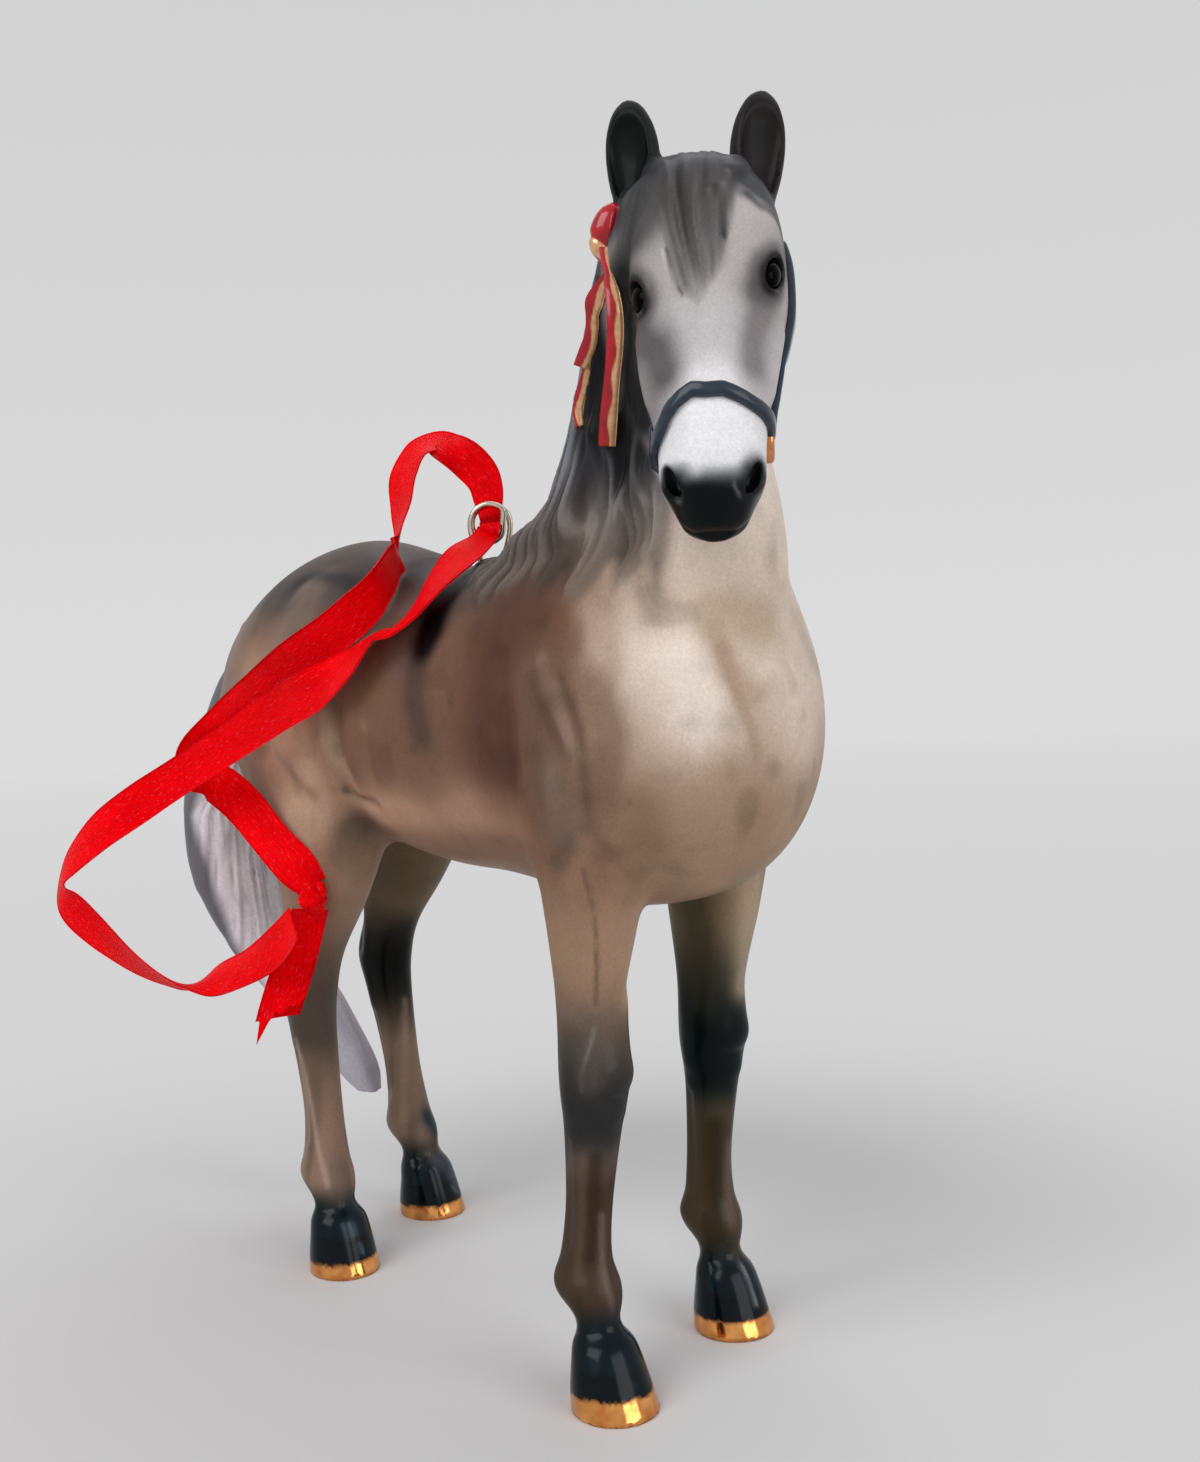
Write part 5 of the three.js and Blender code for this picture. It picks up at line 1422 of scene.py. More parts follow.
def coat_paint(p):
    """Trunk and breast."""
    _, y, z = p.T
    soft = noise(p, 4.0, 1)
    c = over((124, 92, 73), (70, 63, 61), ramp(z + 0.5 * soft, 49.5, 54.8) * ramp(y, -9, -2))
    c = over(c, (90, 80, 77), ramp(z, 50, 53.5) * ramp(-y, -1, 4) * ramp(y, -17, -11))
    c = over(c, (112, 98, 88), ramp(y, 24, 33) * ramp(-z, -54, -50) * 0.8)
    c = airbrush(p, c, FLANK_PAINT)
    front = ramp(-y, 15.5, 21)
    c = over(c, (212, 194, 179), front * ramp(z, 33, 47))
    c = over(c, (170, 145, 120), front * ramp(-z, -46, -33) * 0.8)
    c = over(c, (224, 208, 195), ramp(-y, 12, 18) * ramp(z, 50, 58))
    c = airbrush(p, c, BREAST_PAINT + BLOT_PAINT)
    c = over(c, (150, 122, 100), ramp(-z, -38, -33) * ramp(y, -14, -8) * 0.5)
    return over(c, c * 0.9, ramp(noise(p, 1.6, 2) + 0.5 * soft, 0.2, 0.9))


# Streaks and clouds: noise with its length along Z drawn out
STREAKED = np.array([1, 1, 0.08])
CLOUDED = np.array([1, 1, 0.4])


def leg_paint(p, c):
    """(colour with the dark points of the legs, gloss)."""
    x, y, z = p.T
    fore, left = ramp(-y, -6, -2), ramp(x, -1, 1)
    warp = 0.7 * noise(p, 2.2, 4)
    weights = [fore * (1 - left), fore * left, (1 - fore) * (1 - left), (1 - fore) * left]
    for weight, (upper, dark, cannon, begins, full, until, gone) in zip(weights, LEG_TONES):
        # upper colour: on the left legs it is darker, as painted shade
        c = over(c, upper, weight * ramp(36 - z, 0, 6) * 0.8)
        shin = weight * ramp(until - 1 - z, 0, 3)
        c = over(c, cannon, shin)
        streak = ramp(noise(p * STREAKED, 1.1, 6), 0.0, 0.7)
        c = over(c, np.array(cannon) * 0.72, shin * streak * 0.6)
        knee = ramp(begins + warp - z, 0, begins - full) * ramp(z - gone - 0.5 * warp, 0, until - gone)
        c = over(c, dark, weight * knee)
    c = airbrush(p, c, LEG_PAINT)
    for fx, fy, fz, *_ in FEET:
        c = over(c, c * 0.85 + 12, stroke(p, [(fx, fy - 1.6, fz), (fx, fy, fz + 0.6)], 1.5) * 0.6)
    pastern = ramp(7.2 + 0.5 * warp - z, 0, 2.6)
    c = over(c, (6, 18, 24), pastern * (1 - 0.6 * stroke(p, [(6.8, -13.4, 5.4), (5.8, 22.6, 5.2)], 0.9)))
    c = over(c, (40, 54, 64), pastern * ramp(noise(p * CLOUDED, 1.0, 8), 0.1, 0.8) * 0.6)
    c = over(c, (2, 9, 14), ramp(3.3 - z, 0, 1.2) * 0.7)
    c = over(c, (1, 4, 8), coronet_line(p) * 0.9)
    return airbrush(p, c, HOOF_PAINTED_HIGHLIGHTS), DULL + 0.25 * ramp(30 - z, 0, 10) + 0.35 * pastern


def coronet_line(p):
    """The dark line round the top of each hoof."""
    out = np.zeros(len(p))
    height = p[:, 2] + 0.2 * noise(p, 0.9, 9)
    for *_, hx, hy, hz in FEET:
        near = ramp(4 - np.hypot(p[:, 0] - hx, p[:, 1] - hy), 0, 0.5)
        out += near * bell((height - hz + 0.9) / 0.2)
    return np.clip(out, 0, 1)


def rim_top(p):
    """How high the gold rim stands at a point of a hoof."""
    wave = 0.12 * noise(p, 1.4, 12) + 0.05 * noise(p, 0.5, 13)
    toe = np.zeros(len(p))
    for *_, hx, hy, _ in FEET:
        toe += ramp(hy + 1.5 - p[:, 1], 0, 3) * (np.hypot(p[:, 0] - hx, p[:, 1] - hy) < 4.5)
    return 0.9 + 0.25 * toe + 0.15 * (p[:, 1] < 0) + wave


# The face: routes of (sideways, down, out)
FACE_PAINT = [
    # painted shade on the jaw's right side, in the gap under the mane's bow
    ([(-4.6, 6, -6.8), (-4.6, 9, -7), (-4.4, 12, -6.6), (-4.2, 14, -6.2)], 1.7, (34, 33, 34), 0.92),
    ([(-4.3, 11.7, -3.9), (-3.9, 14.4, -2.6), (-3.6, 16.6, -2)], 1.4, (142, 137, 138), 0.7),
    ([(-4.7, -1.7, -4.9), (-3.8, 1.4, -2.3), (-4.3, 3.9, -2.6), (-4.9, 4.9, -3.8)], 1.2, (72, 71, 72), 0.9),
    ([(-3.3, -0.4, -1.6), (-3.2, 1.6, -1.2), (-3.2, 3.2, -1.2)], 1.6, (70, 68, 67), 0.92),
    ([(3.2, 0.2, -1.6), (4.6, 1.0, -3)], 1.3, (92, 89, 90), 0.85),
    # painted shade in the creases under the left ear's fold
    ([(2.7, 2.4, -1), (3.3, 3.1, -1.3), (4.2, 2.8, -2.6), (4.8, 3.6, -3.5)], 0.4, (44, 42, 42), 0.95),
    ([(2.6, 1.2, -0.8), (3.4, 1.9, -1.4), (4.2, 1.8, -2.6)], 0.25, (60, 58, 58), 0.6),
    ([(-4.9, 4.6, -4.1), (-4.6, 6.5, -3.1)], 1.1, (92, 90, 90), 0.8),
    ([(-4.6, 9.4, -3.2), (-4.0, 11.2, -2.2), (-3.2, 12.6, -1.3), (-2.7, 14.4, -0.9)],
     1.35, (82, 78, 79), 0.8),
    ([(2.9, 9.3, -1), (3.5, 7.6, -1.4)], 1.0, (92, 88, 89), 0.85),
    ([(5, 3.7, -4.7), (4.9, 5.4, -3.6)], 1.2, (80, 76, 76), 0.9),
    ([(3.6, 9.6, -1.6), (3.0, 11.6, -1.1), (2.8, 14.2, -0.9)], 1.15, (112, 106, 107), 0.75),
]
MUZZLE_PAINT = [
    ([(-1.5, 20.9, -0.8), (-1.5, 21.5, -1)], 0.34, (150, 150, 152), 0.5),
    ([(2.4, 20.9, -1.3), (2.6, 22, -1.6)], 0.8, (72, 70, 74), 0.85),
    ([(2, 21.2, -1), (2.1, 22.2, -1.3)], 0.45, (30, 30, 33), 0.8),
    ([(1.1, 21.5, -0.8), (1.2, 22.1, -1), (1.6, 22.7, -1.7)], 0.12, (110, 114, 120), 0.7),
    ([(-1.9, 22, -1.5), (-2.1, 22.5, -1.9)], 0.26, (120, 118, 112), 0.8),
]
# Locks of the forelock that show lighter or darker, with painted shade in a gap between strands and painted
# highlight and shade at the groove beside the forelock
FORELOCK_STREAKS = [
    # painted shade in a gap between strands
    ([(0.9, 2.4, 0.1), (1.1, 4.5, 0.1), (1.2, 5.9, 0.1)], 0.24, (46, 45, 48), 0.9),
    ([(1.4, 2.2, 0), (1.6, 4.6, 0)], 0.2, (150, 150, 156), 0.6),
    ([(0.5, 2.6, 0.1), (0.6, 4.4, 0.1), (0.5, 6.8, 0.2)], 0.16, (136, 134, 134), 0.5),
    ([(-0.6, 3, 0.2), (-0.5, 6, 0.2), (-0.2, 8.6, 0.1)], 0.2, (74, 72, 70), 0.5),
    # painted highlight on the lip beside the forelock, then painted shade in its groove
    ([(-2.4, 6.2, -0.4), (-2.1, 8.4, -0.2), (-1.6, 9.8, 0)], 0.12, (210, 208, 208), 0.8),
    ([(-2.2, 6.2, -0.4), (-1.9, 8.4, -0.2), (-1.4, 9.8, 0)], 0.12, (84, 82, 83), 0.8),
]
# Dark hair beside the forelock, and painted shade behind the cheek in the gap under the mane's bow
HAIR_EDGE_AND_SHADE = [
    ([(-3.2, -18.2, 76.4), (-4.1, -19.2, 74.4), (-4.5, -19.6, 73)], 1.5, (62, 62, 63), 0.9),
    ([(-3.6, -20.7, 75.3), (-4.2, -21.1, 73.8)], 1.0, (84, 82, 82), 0.7),
    # painted shade in the gap between cheek and neck, under the bow
    ([(-4.4, -18.1, 71.3), (-4.8, -18.2, 68), (-5, -18.6, 65), (-5, -18.8, 62.6)], 1.15, (30, 29, 30), 0.95),
]
EAR_EDGE = [on_face(4.1, -5.4, -4.2), on_face(4.3, -2.6, -4)]


def face_paint(p, c):
    """(colour with the face and ears over it, gloss of the face, how much a point is face)."""
    side, out, down = in_frame(FACE, p).T
    on_head = ramp(1.9 - head_form(p), 0, 0.8)
    a = np.abs(side)
    f = over((176, 170, 169), (192, 187, 188), ramp(down, 8, 12))
    f = over(f, (150, 143, 138), ramp(-out, 4.4, 7.4) * ramp(15 - down, 0, 4))
    f = over(f, (238, 236, 239), ramp(down, 13.2, 16.2) * ramp(2.8 - a, 0, 2.2))
    f = over(f, (234, 233, 236), ramp(down, 16.4, 17.4))
    f = airbrush(p, f, on_skin(FACE_PAINT))
    for eye in EYES.values():
        q = in_frame(eye, p) / SOCKET
        ring = np.hypot(q[:, 0], q[:, 1])
        near = ramp(2.5 - np.abs(q[:, 2]), 0, 0.6)
        f = over(f, (74, 71, 72), near * ramp(2.6 - ring, 0, 1.4) * 0.85)
        f = over(f, (14, 13, 14), near * ramp(1.6 - ring, 0, 0.5))
        f = over(f, (132, 130, 131), stroke(p, lid(eye, -1, 1.22), 0.14) * 0.7)
    _, hair = lock_cover(np.stack([side, out, down], 1))
    # strand crests painted lighter and grooves darker: painted highlight and shade
    grey = 44 + 34 * lock_strands(side, down) + 44 * ramp(down, 0, 9)
    hair_colour = np.stack([grey, grey - 2, grey - 4 + 6 * ramp(3 - down, 0, 4)], 1)
    f = over(f, (46, 48, 52), ramp(2.4 - down + 0.3 * a, 0, 2.6) * ramp(out, -9, -6.5) * 0.95)
    f = over(f, hair_colour, np.maximum(hair, 0) * (0.97 - 0.55 * ramp(down, 7.5, 11)))
    f = airbrush(p, f, on_skin(FORELOCK_STREAKS) + HAIR_EDGE_AND_SHADE)
    # muzzle
    edge = 21.3 + 0.25 * noise(p, 1.0, 14) - 0.5 * ramp(a, 1.0, 2.4) + 0.9 * ramp(-out, 1.6, 4)
    black = ramp(down - edge, -0.6, 1.1)
    f = over(f, (1, 8, 8), black)
    f = airbrush(p, f, on_skin(MUZZLE_PAINT))
    f = over(f, (1, 2, 2), ramp(-nostrils(p), -0.3, 0.1))
    # ears
    ear, pit = (np.minimum(*(form(p) for form in pair)) for pair in zip(*EARS))
    f = over(f, (28, 28, 29), ramp(0.8 - ear, 0, 0.6) * ramp(0.6 - down, 0, 1.6))
    f = over(f, over((1, 5, 4), (26, 23, 22), ramp(side, -1, 1)), ramp(0.25 - pit, 0, 0.2))
    f = over(f, (6, 12, 11), stroke(p, EAR_EDGE, 0.4) * 0.8)
    on_ear = ramp(0.5 - ear, 0, 0.4)
    c = over(over(c, f, on_head), f, on_ear)
    return c, DULL + 0.3 * black, np.maximum(on_head, on_ear)


# painted shadow of the mane's bow and streamers on the neck behind them
PAINTED_SHADOW_BEHIND_BOW = [
    ([(-4.6, -16.4, 72), (-5, -16, 67), (-5, -15.6, 62.4)], 2.0, (12, 12, 13), 0.95),
    ([(-4.2, -17.8, 66), (-3.8, -17.5, 61.2), (-3.6, -17.6, 58.6)], 1.5, (24, 23, 23), 0.9),
]


def neck_paint(p, c):
    """Neck and mane."""
    x, y, z = p.T
    _, hair = mane_cover(p)
    c = over(c, (138, 126, 116), ramp(z, 55, 62) * ramp(y, -14, -8) * 0.8)
    # painted shade on the neck's right side behind the bow and streamers
    c = over(c, (84, 80, 80), ramp(z, 62, 72) * ramp(y, -19, -14) * ramp(-x, -2, 1))
    s = mane_strands(p)
    low = ramp(61 - z, 0, 8)
    # hair lighter on the strands' crests and darker in their grooves, with blue-grey painted highlights and
    # near-black painted shade
    hairs = np.stack([42 + 44 * s + 26 * low, 42 + 43 * s + 18 * low, 46 + 44 * s + 8 * low], 1)
    hairs = over(hairs, (160, 164, 172), ramp(s, 0.3, 0.75) * 0.65 * (1 - 0.7 * low))
    hairs = over(hairs, (22, 22, 25), ramp(-s, 0.05, 0.5) * 0.7 * (1 - 0.5 * low))
    hairs = over(hairs, (140, 118, 94), low * ramp(s, 0.3, 0.9) * 0.3)
    return airbrush(p, over(c, hairs, hair * (0.97 - 0.35 * low)), PAINTED_SHADOW_BEHIND_BOW)


def lay_paint(piece, colour, gloss, gold):
    colour_layer(piece, "paint", colour)
    value_layer(piece, "gloss", gloss)
    value_layer(piece, "gold", gold)


RIM_SEARCH_Z = 3  # no gold rim stands higher than this


def paint_horse(piece, p):
    c = coat_paint(p)
    c, gloss = leg_paint(p, c)
    c = neck_paint(p, c)
    c, face_gloss, on_head = face_paint(p, c)
    gloss = gloss * (1 - on_head) + face_gloss * on_head
    under_top, low = rim_top(p) - p[:, 2], p[:, 2] < RIM_SEARCH_Z
    c = over(c, (14, 10, 8), ramp(under_top + 0.2, 0, 0.1) * low)
    lay_paint(piece, c, np.clip(gloss, 0, 1), ramp(under_top, -0.06, 0.06) * low)


TAIL_BACK = [(10, 29), (18, 32.2), (24, 34.8), (36, 37.4), (48, 36.4), (53, 33)]  # z and y of its middle line


def paint_tail(piece, p):
    x, y, z = p.T
    s = tail_strands(p)
    # darker in the strands' grooves: painted shade
    c = over((246, 243, 249), (148, 146, 154), ramp(s, -0.1, -0.9))
    c = over(c, (228, 226, 232), ramp(s, 0.2, 0.9) * 0.6)
    # the side turned from the camera and the top by the dock are painted darker: painted shade
    back = np.interp(z, *np.array(TAIL_BACK).T)
    edge = ramp(0.75 * (tail_middle(z) - x) + 0.66 * (y - back), 1.7, 3.2) + 0.8 * ramp(z, 40, 48)
    c = over(c, (88, 88, 92), np.clip(edge + 0.35 * s, 0, 1) * ramp(z, 16, 24) * 0.85)
    c = over(c, (190, 188, 202), ramp(22 - z, 0, 5) * 0.8)
    lay_paint(piece, c, 0.35, 0)


# The horse
GLAZE = glaze_material()


def glazed_skin(name, field, low, high, step, paint, slot, *nodes):
    points, faces = skin_of(field, low, high, step)
    points[:, 2] = np.maximum(points[:, 2], 0)
    piece = mesh_object(name, points, faces)
    paint(piece, points)
    dress(piece, GLAZE, slot, *nodes)


glazed_skin(
    "body_skin", body_skin, (-12.5, -28, -0.6), (12.5, 38, 62), 0.26, paint_horse,
    "coat", "body_casting", "foreleg_right", "foreleg_left", "hindleg_right", "hindleg_left",
)
glazed_skin(
    "head_skin", head_skin, (-12, -35, 46), (10, -1, 85), 0.17, paint_horse,
    "face_white", "neck_casting", "head_casting", "ear_right", "ear_left", "mane_casting", "forelock",
)
glazed_skin("tail_skin", tail_skin, (-10, 24, 9), (8, 41, 54), 0.22, paint_tail, "tail_grey", "tail_casting")


# Eyes
def ball(centre, radii, axes, rings=24, sides=32):
    """(points, triangles) of an ellipsoid."""
    a = np.linspace(0, math.pi, rings + 1)[1:-1, None]
    b = np.linspace(0, 2 * math.pi, sides, endpoint=False)
    grid = np.stack([np.sin(a) * np.cos(b), np.sin(a) * np.sin(b), np.cos(a) + 0 * b], -1)
    points, faces = closed_rings(grid, (0, 0, 1), (0, 0, -1))
    return points * radii @ axes + centre, faces


EYE_RADII = np.array([1.1, 0.78, 0.6])
EYE_SUNK = 0.36
EYE = plain_material("eye_glaze", (1, 1, 2), 0.1, vary=0.3, size=0.5, bump=0.02, shine=0.03)
for _name, _hand in (("eye_right", -1), ("eye_left", 1)):
    _centre, _axes = EYES[_hand]
    dress(mesh_object(_name, *ball(_centre - _axes[2] * EYE_SUNK, EYE_RADII, _axes)), EYE, "halter_slate")


# Halter
STRAP = 0.88
STRAP_OVER, STRAP_UNDER = 0.5, 0.15  # how far it stands over the head's skin and goes under it
# The noseband's line over the nose: how far down the face it runs at each place sideways.
NOSEBAND_LINE = [
    (-3.6, 18.7), (-3, 18.1), (-2.4, 17.3), (-1.8, 16.8), (-1, 16.4), (-0.2, 16.55), (0.8, 16.5),
    (1.7, 16.8), (2.6, 17.1), (3.4, 17.2),
]


def strap_over(p, band, width=STRAP):
    """A rounded strap on the head where band, a distance across it, is under half its width."""
    skin = head(p) + relief(p)
    return cut(cut(skin - STRAP_OVER, -(skin + STRAP_UNDER), 0.12), band - width / 2, 0.3)


def noseband_field(p):
    side, out, down = in_frame(FACE, p).T
    places, line = np.array(NOSEBAND_LINE).T
    run = np.interp(side, places, line)
    slope = np.interp(side + 0.2, places, line) - np.interp(side - 0.2, places, line)
    across = np.abs(down - run) / np.hypot(1, slope / 0.4)
    behind = np.abs(down - np.where(side < 0, 18.5, 17.2))
    return strap_over(p, across + (behind - across) * ramp(-out, 3.6, 5.2))


def side_strap(p, a, b):
    """A strap seen from the side, through places (out, down)."""
    _, out, down = in_frame(FACE, p).T
    ax, ay, bx, by = *a, *b
    rx, ry = bx - ax, by - ay
    t = np.clip(((out - ax) * rx + (down - ay) * ry) / (rx * rx + ry * ry), 0, 1)
    return np.hypot(out - ax - rx * t, down - ay - ry * t)


def clear_of_neck(p, d):
    """What of d is outside neck and mane."""
    thick, _ = mane_cover(p)
    return cut(d, -(join(neck(p), FAR + 0 * d, 0.1) - thick - 0.02), 0.1)


def cheek_field(p):
    right = strap_over(p, side_strap(p, (-7.2, 2.0), (-5.4, 16.4)), 1.1)
    left = strap_over(p, side_strap(p, (-7.0, 2.0), (-4.2, 16.4)), 1.5)
    return clear_of_neck(p, np.where((p - POLL) @ SIDE < 0, right, left))


def crown_field(p):
    return clear_of_neck(p, strap_over(p, side_strap(p, (-7.2, -6), (-7.2, 2.2))))


def half(field, hand):
    """The right side of a field, hand -1, or its left one, hand 1."""
    return lambda p: np.maximum(field(p), 0.3 - hand * ((p - POLL) @ SIDE))


HALTER = plain_material(
    "halter_slate", (40, 50, 62), 0.24, vary=0.25, size=1.2, bump=0.06, coat=0.2, shine=0.2
)
AROUND_HEAD = ((-12.5, -37, 52), (9, -10, 84))


def skin_piece(name, field, low, high, step):
    """(a piece from a field's surface, its points)."""
    points, faces = skin_of(field, low, high, step)
    return mesh_object(name, points, faces), points


def halter_piece(name, field, node, material=HALTER, slot="halter_slate", step=0.13):
    piece, _ = skin_piece(name, field, *AROUND_HEAD, step)
    dress(piece, material, slot, node)


halter_piece("noseband", noseband_field, "halter_noseband")
halter_piece("cheek_strap_right", half(cheek_field, -1), "halter_cheek_strap_right")
halter_piece("cheek_strap_left", half(cheek_field, 1), "halter_cheek_strap_left")
halter_piece("crown_strap", crown_field, "halter_crown_strap")


# Halter rings
RING_SIDEWAYS, RING_DOWN, RING_OUT = 3.6, 17.4, -4.3
RING_STEP = 0.09


def ring_field(hand):
    """A hoop with the plate that it hangs on."""
    middle = settle_point(bare_face, on_face(hand * RING_SIDEWAYS, RING_DOWN, RING_OUT))
    axes = np.stack([OUT * 0.97 + DOWN * 0.25, DOWN * 0.97 - OUT * 0.25, SIDE * hand])

    def field(p):
        q = (p - middle) @ axes.T
        off_middle = np.hypot(q[:, 0], q[:, 1] * 0.6)
        hoop = np.hypot(off_middle - 0.62, np.maximum(np.abs(q[:, 2]) - 0.22, 0)) - 0.24
        plate = ellipsoid(q, np.zeros(3), (0.6, 1.05, 0.36))
        return join(hoop, plate, 0.15)

    return field


LUSTRE = plain_material("gold_lustre", (196, 134, 88), 0.22, metal=0.85, vary=0.2, size=0.5, bump=0.2)
halter_piece("halter_left_ring", ring_field(1), "halter_ring_left", LUSTRE, "gold_lustre", RING_STEP)
halter_piece("halter_right_ring", ring_field(-1), "halter_ring_right", step=RING_STEP)


# Moulded ribbons, crimson with gold edges
def crimson_material():
    m = Nodes("crimson_glaze")
    gold = m.attribute("gold", "Fac")
    red = m.shaded(linear(178, 8, 28), m.spread(m.noise(0.9, 3, 0.6), 0.72, 1.2))
    tan = m.mix(m.spread(m.noise(0.35, 3, 0.6), 0, 1), linear(238, 190, 144), linear(214, 158, 108))
    m.set(Base_Color=m.mix(gold, red, tan), Metallic=m.times(gold, 0.35), Roughness=0.2)
    m.set(Coat_Weight=0.35, Coat_Roughness=0.06, Specular_IOR_Level=0.3)
    m.bump(m.noise(0.4, 3, 0.6), 0.2, 0.05)
    return m.material


CRIMSON = crimson_material()
# [x, y, z of the middle, and the vector from it to the edge]
STREAMER_LONG = [
    (-4.1, -16.1, 73.6, 0.26, -0.23, 0), (-4.48, -16.6, 72.4, 0.2, -0.18, 0),
    (-4.75, -17.1, 71.3, 0.25, -0.22, 0), (-5.0, -17.6, 70.2, 0.34, -0.3, 0),
    (-5.15, -17.9, 68.6, 0.4, -0.35, 0), (-5.2, -17.8, 66.9, 0.4, -0.35, 0),
    (-5.3, -17.6, 65.3, 0.38, -0.33, 0), (-5.4, -17.4, 63.8, 0.4, -0.35, 0),
    (-5.4, -17.1, 62.2, 0.42, -0.37, 0), (-5.3, -16.8, 61.0, 0.4, -0.35, 0.06),
]
STREAMER_FOLD = [
    (-4.5, -16.7, 71.8, 0.2, -0.18, 0), (-4.65, -16.2, 71.1, 0.26, -0.24, -0.24),
    (-4.7, -15.6, 70.3, 0.36, -0.33, -0.34), (-4.6, -15.2, 69.5, 0.3, -0.27, -0.1),
    (-4.6, -15.1, 68.4, 0.34, -0.3, 0), (-4.75, -14.7, 67.3, 0.4, -0.35, 0.08),
    (-4.85, -14.3, 66.4, 0.42, -0.35, 0.2),
]
STREAMER_SHORT = [
    (-4.5, -14.7, 66.7, 0.3, -0.27, 0.1), (-4.5, -14.1, 65.6, 0.27, -0.24, 0),
    (-4.6, -13.7, 64.6, 0.27, -0.24, 0), (-4.75, -13.6, 63.7, 0.26, -0.23, 0),
    (-4.8, -13.8, 62.7, 0.22, -0.2, 0),
]


STREAMER_THICK = 0.45


def moulded_piece(piece, gold, node):
    value_layer(piece, "gold", gold)
    dress(piece, CRIMSON, "crimson_glaze", node)


def moulded_strip(name, table, node, gold_from):
    """A streamer, gold from some place across on."""
    points, quads, across, along, _ = strip_mesh(table, STREAMER_THICK, 1, columns=13, per=8, cup=0.1)
    gold = ramp(across + 0.18 * np.sin(along * 2.3), gold_from - 0.08, gold_from + 0.08)
    moulded_piece(mesh_object(name, points, quads), gold, node)


moulded_strip("mane_ribbon_long", STREAMER_LONG, "mane_streamer_long", 0.1)
moulded_strip("mane_ribbon_fold", STREAMER_FOLD, "mane_streamer_short", 0.0)
moulded_strip("mane_ribbon_short", STREAMER_SHORT, "mane_streamer_short", -0.35)


def moulded_bow(name, field, low, high, gold, node):
    piece, points = skin_piece(name, field, low, high, 0.1)
    moulded_piece(piece, gold(points), node)


MANE_BOW = np.array([-3.5, -15.8, 74.9])
VIEW_SIDE = np.array([0.745, -0.667, 0])
VIEW_BACK = np.array([0.667, 0.745, 0])
BOW_AXES = np.stack([unit(VIEW_SIDE - (0, 0, 0.38)), VIEW_BACK, unit(VIEW_SIDE * 0.38 + (0, 0, 1.0))])


def mane_bow_field(p):
    """One rounded loop of the bow, its neck under it."""
    q = (p - MANE_BOW) @ BOW_AXES.T
    loop = ellipsoid(q, np.zeros(3), (1.12, 0.85, 1.85))
    lower = ellipsoid(p, MANE_BOW + VIEW_SIDE * 0.15 - (0, 0, 1.9), (0.6, 0.6, 1.0), BOW_AXES)
    crease = 0.1 * bell((q[:, 0] - 0.45 + 0.2 * q[:, 2]) / 0.2) * ramp(-q[:, 1], -0.2, 0.3)
    rolled = 0.14 * bell((q[:, 2] + 0.95 + 0.3 * q[:, 0]) / 0.22)
    return join(loop, lower, 0.6) + crease + rolled


def mane_bow_gold(p):
    q = (p - MANE_BOW) @ BOW_AXES.T
    strip = q[:, 2] + 1.45 + 0.3 * q[:, 0]
    return ramp(0.42 - np.abs(strip), -0.05, 0.05) * ramp(0.55 - q[:, 0], 0, 0.15)


moulded_bow("mane_ribbon_bow", mane_bow_field, MANE_BOW - 3.4, MANE_BOW + 3, mane_bow_gold, "mane_bow")

TAIL_BOW = np.array([0, 34.4, 52.6])
TAIL_BOW_ROOM = (4.5, 2, 2.5)  # half the box it is in
LOOP_TILT = 0.45


def tail_bow_field(p):
    """Two loops at a knot."""
    d = ellipsoid(p, TAIL_BOW, (0.8, 0.9, 0.9))
    for hand in (-1, 1):
        sin, cos = math.sin(LOOP_TILT * hand), math.cos(LOOP_TILT)
        axes = np.array([[cos, 0, -sin], [0, 1, 0], [sin, 0, cos]])
        q = (p - TAIL_BOW - np.array([hand * 1.9, 0, -0.2])) @ axes.T
        loop = ellipsoid(q, np.zeros(3), (1.9, 0.85, 1.25))
        hole = ellipsoid(q, np.array([hand * 0.5, 0.9, 0]), (0.9, 0.7, 0.55))
        d = join(d, cut(loop, -hole, 0.2), 0.25)
    return d


def tail_bow_gold(p):
    return ramp(np.abs(p[:, 2] - TAIL_BOW[2] + 0.2), 1.0, 1.15) * 0.9


moulded_bow(
    "tail_ribbon_bow", tail_bow_field, TAIL_BOW - TAIL_BOW_ROOM, TAIL_BOW + TAIL_BOW_ROOM,
    tail_bow_gold, "tail_bow",
)


# Wire eye and its plug
WIRE = 0.23
EYE_TURN = -41
EYE_AXES = np.stack([turned_z((1, 0, 0), EYE_TURN), (0, 0, 1), 0.3 * turned_z((0, -1, 0), EYE_TURN)])
# To the right, up and to the front, from the middle of the ring
EYE_ROUTE = [
    (-0.67, -5.0, 0), (-0.67, -3.2, 0.1), (-1.2, -1.4, 0.9), (-1.42, 0, 1), (-1, 1, 1), (0, 1.42, 1),
    (1, 1, 1), (1, 0, 0.8), (0.8, -0.9, 0.3), (0, -1.35, -0.3), (-0.95, -1, -0.8), (-1.35, 0, -1),
    (-1, 1, -1), (0.1, 1.45, -1), (1.2, 0.9, -1), (1.5, -0.1, -1), (1.2, -1.7, -0.8),
    (0.6, -3.2, -0.1), (0.55, -5.0, 0),
]


def tube(line, radius, sides=14):
    """(points, triangles) of a wire along a line."""
    a = np.linspace(0, 2 * math.pi, sides, endpoint=False)
    runs = unit(np.gradient(line, axis=0))
    side = np.cross(runs[0], (0.3, 0.2, 0.9))
    rings = []
    for point, run in zip(line, runs):
        side = unit(side - run * (side @ run))
        ring = np.outer(np.cos(a), side) + np.outer(np.sin(a), np.cross(run, side))
        rings.append(point + radius * ring)
    points, faces = closed_rings(np.array(rings), line[0], line[-1])
    return points, faces[:, ::-1]


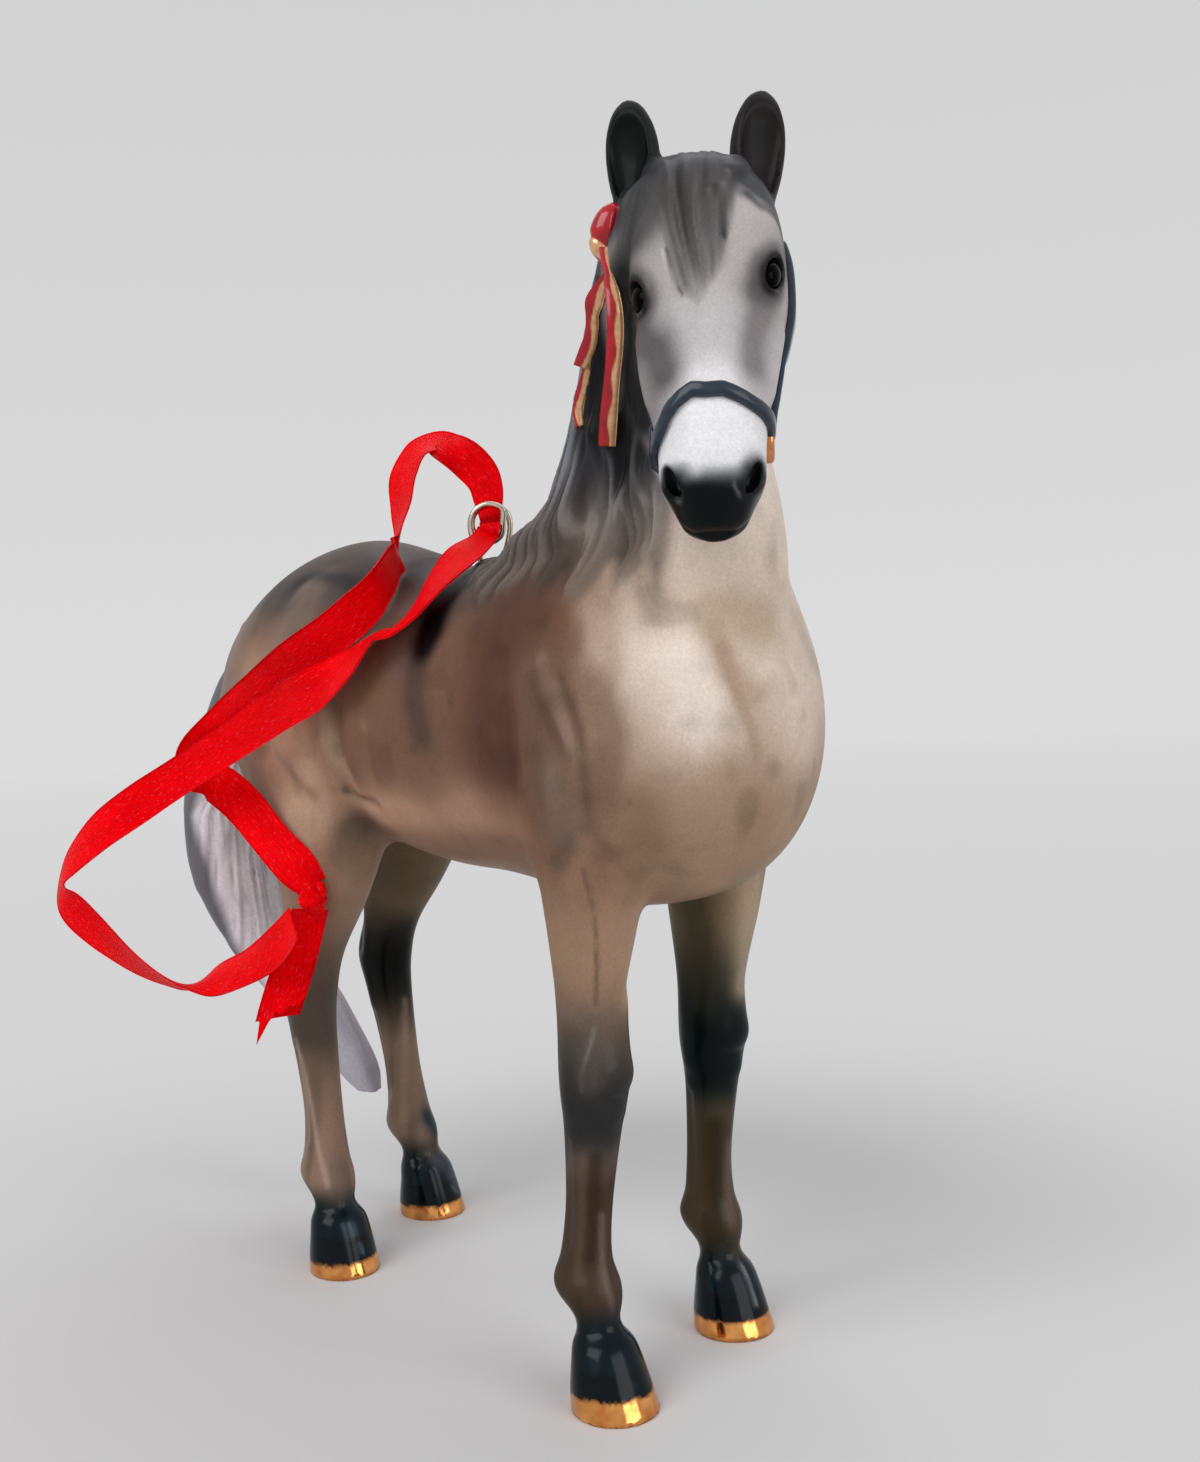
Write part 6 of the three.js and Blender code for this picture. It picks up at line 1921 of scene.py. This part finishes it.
wire_line = smooth_rows((EYE_MIDDLE + np.array(EYE_ROUTE) @ EYE_AXES).tolist(), 8)[:, :3]
WIRE_METAL = plain_material("brushed_wire", (206, 196, 178), 0.2, metal=1.0, vary=0.16, size=0.5, bump=0.08)
dress(mesh_object("wire_eye", *tube(wire_line, WIRE)), WIRE_METAL, "wire", "hanger_wire")

PLUG_TOP = np.array([*PLUG_XY, 55.2])
PLUG_RADIUS, PLUG_DEEP = 1.45, 2.6


def plug_field(p):
    q = p - PLUG_TOP
    across = np.hypot(q[:, 0], q[:, 1]) - PLUG_RADIUS - 0.08 * noise(p, 0.7, 51)
    top = q[:, 2] + 0.12 - 0.1 * noise(p, 0.5, 52)
    return cut(cut(across, top, 0.2), -q[:, 2] - PLUG_DEEP, 0.1)


CEMENT = plain_material("dark_cement", (58, 26, 26), 0.75, vary=0.4, size=0.3, bump=0.5)
plug, _ = skin_piece("cement_plug", plug_field, PLUG_TOP - (2, 2, 3), PLUG_TOP + (2, 2, 0.6), 0.12)
dress(plug, CEMENT, "cement", "hanger_plug")


# Floor, backdrop and lights: what the camera sees far off is a plain pale grey, which doesn't light the horse
PAPER_RGB = (218, 218, 219)  # lit by the lamps it looks like FLOOR_RGB
FLOOR_RGB = (211, 211, 212)
HORIZON_RGB = (220, 220, 220)
SKY_RGB = (209, 209, 210)
FLOOR_RADIUS = 2.0
FLOOR_SIDES = 96
FADE_FROM, FADE_TO = 0.03, 0.1  # distances from the middle, in metres
FAR_FLOOR = 1.0  # where the floor looks like the horizon
SKY_TOP = 0.42  # the sine of the height at which the backdrop is darkest


def seen_directly(m):
    """1 for what the camera, a mirror or glass shows, 0 for the light that falls on things."""
    path = m.add("ShaderNodeLightPath").outputs
    seen = m.sum("MAXIMUM", path["Is Camera Ray"], path["Is Glossy Ray"])
    return m.sum("MAXIMUM", seen, path["Is Transmission Ray"])


def floor_material():
    m = Nodes("pale_paper")
    m.set(Roughness=0.7, Base_Color=linear(*PAPER_RGB), Specular_IOR_Level=0.2)
    reach = m.add("ShaderNodeVectorMath", operation="LENGTH")
    m.link(m.place(), reach.inputs[0])
    near = m.add("ShaderNodeMapRange", interpolation_type="SMOOTHSTEP")
    m.feed(near, Value=reach.outputs["Value"], From_Min=FADE_FROM, From_Max=FADE_TO)
    far = m.spread(reach.outputs["Value"], 0, 1, FADE_FROM, FAR_FLOOR)
    glow = m.add("ShaderNodeEmission")
    m.feed(glow, Color=m.mix(far, linear(*FLOOR_RGB), linear(*HORIZON_RGB)))
    seen_far = m.times(near.outputs[0], seen_directly(m))
    surface = m.blend(seen_far, m.shader.outputs[0], glow.outputs[0])
    m.link(surface, m.tree.nodes["Material Output"].inputs["Surface"])
    return m.material


def make_floor():
    angles = np.linspace(0, 2 * math.pi, FLOOR_SIDES, endpoint=False)
    rim = [(FLOOR_RADIUS * math.cos(a), FLOOR_RADIUS * math.sin(a), 0) for a in angles]
    mesh = bpy.data.meshes.new("floor")
    mesh.from_pydata(rim, [], [tuple(range(FLOOR_SIDES))])
    floor = add_object("floor", mesh)
    mesh.materials.append(floor_material())


make_floor()


AIM_AT = np.array([0, 0, 0.04])


def softbox(name, azimuth, height, distance, size, power):
    """An area lamp aimed at the horse. Azimuth 0 is where the camera stands, 90 to its right."""
    a, e = math.radians(azimuth), math.radians(height)
    flat = VIEW_SIDE * math.sin(a) - VIEW_BACK * math.cos(a)
    ahead = unit(flat * math.cos(e) + np.array([0, 0, math.sin(e)]))
    data = bpy.data.lights.new(name, "AREA")
    data.shape = "RECTANGLE"
    data.size, data.size_y = size
    data.energy = power
    side = unit(np.cross((0, 0, 1.0), ahead))
    turn = Matrix(np.stack([side, np.cross(ahead, side), ahead]).T.tolist())
    lamp = add_object(name, data)
    lamp.matrix_world = Matrix.Translation(AIM_AT + ahead * distance) @ turn.to_4x4()


softbox("key", -42, 44, 1.8, (1.2, 1.0), 15)
softbox("fill", 45, 24, 2.0, (1.4, 1.2), 15)
softbox("top", 165, 60, 1.6, (1.4, 1.0), 5)


def make_world(strength):
    """White light all round, and a pale grey backdrop for the camera."""
    world = bpy.data.worlds.new("room")
    bpy.context.scene.world = world
    world.use_nodes = True
    tree = world.node_tree
    lit = tree.nodes["Background"]
    lit.inputs[0].default_value = (1, 1, 1, 1)
    lit.inputs[1].default_value = strength
    m = Nodes.__new__(Nodes)
    m.tree = tree
    height = m.add("ShaderNodeSeparateXYZ")
    m.link(m.add("ShaderNodeTexCoord").outputs["Generated"], height.inputs[0])
    up = m.spread(height.outputs[2], 0, 1, 0, SKY_TOP)
    seen = m.add("ShaderNodeBackground")
    m.feed(seen, Color=m.mix(up, linear(*HORIZON_RGB), linear(*SKY_RGB)))
    surface = m.blend(seen_directly(m), lit.outputs[0], seen.outputs[0])
    m.link(surface, tree.nodes["World Output"].inputs["Surface"])


make_world(0.34)
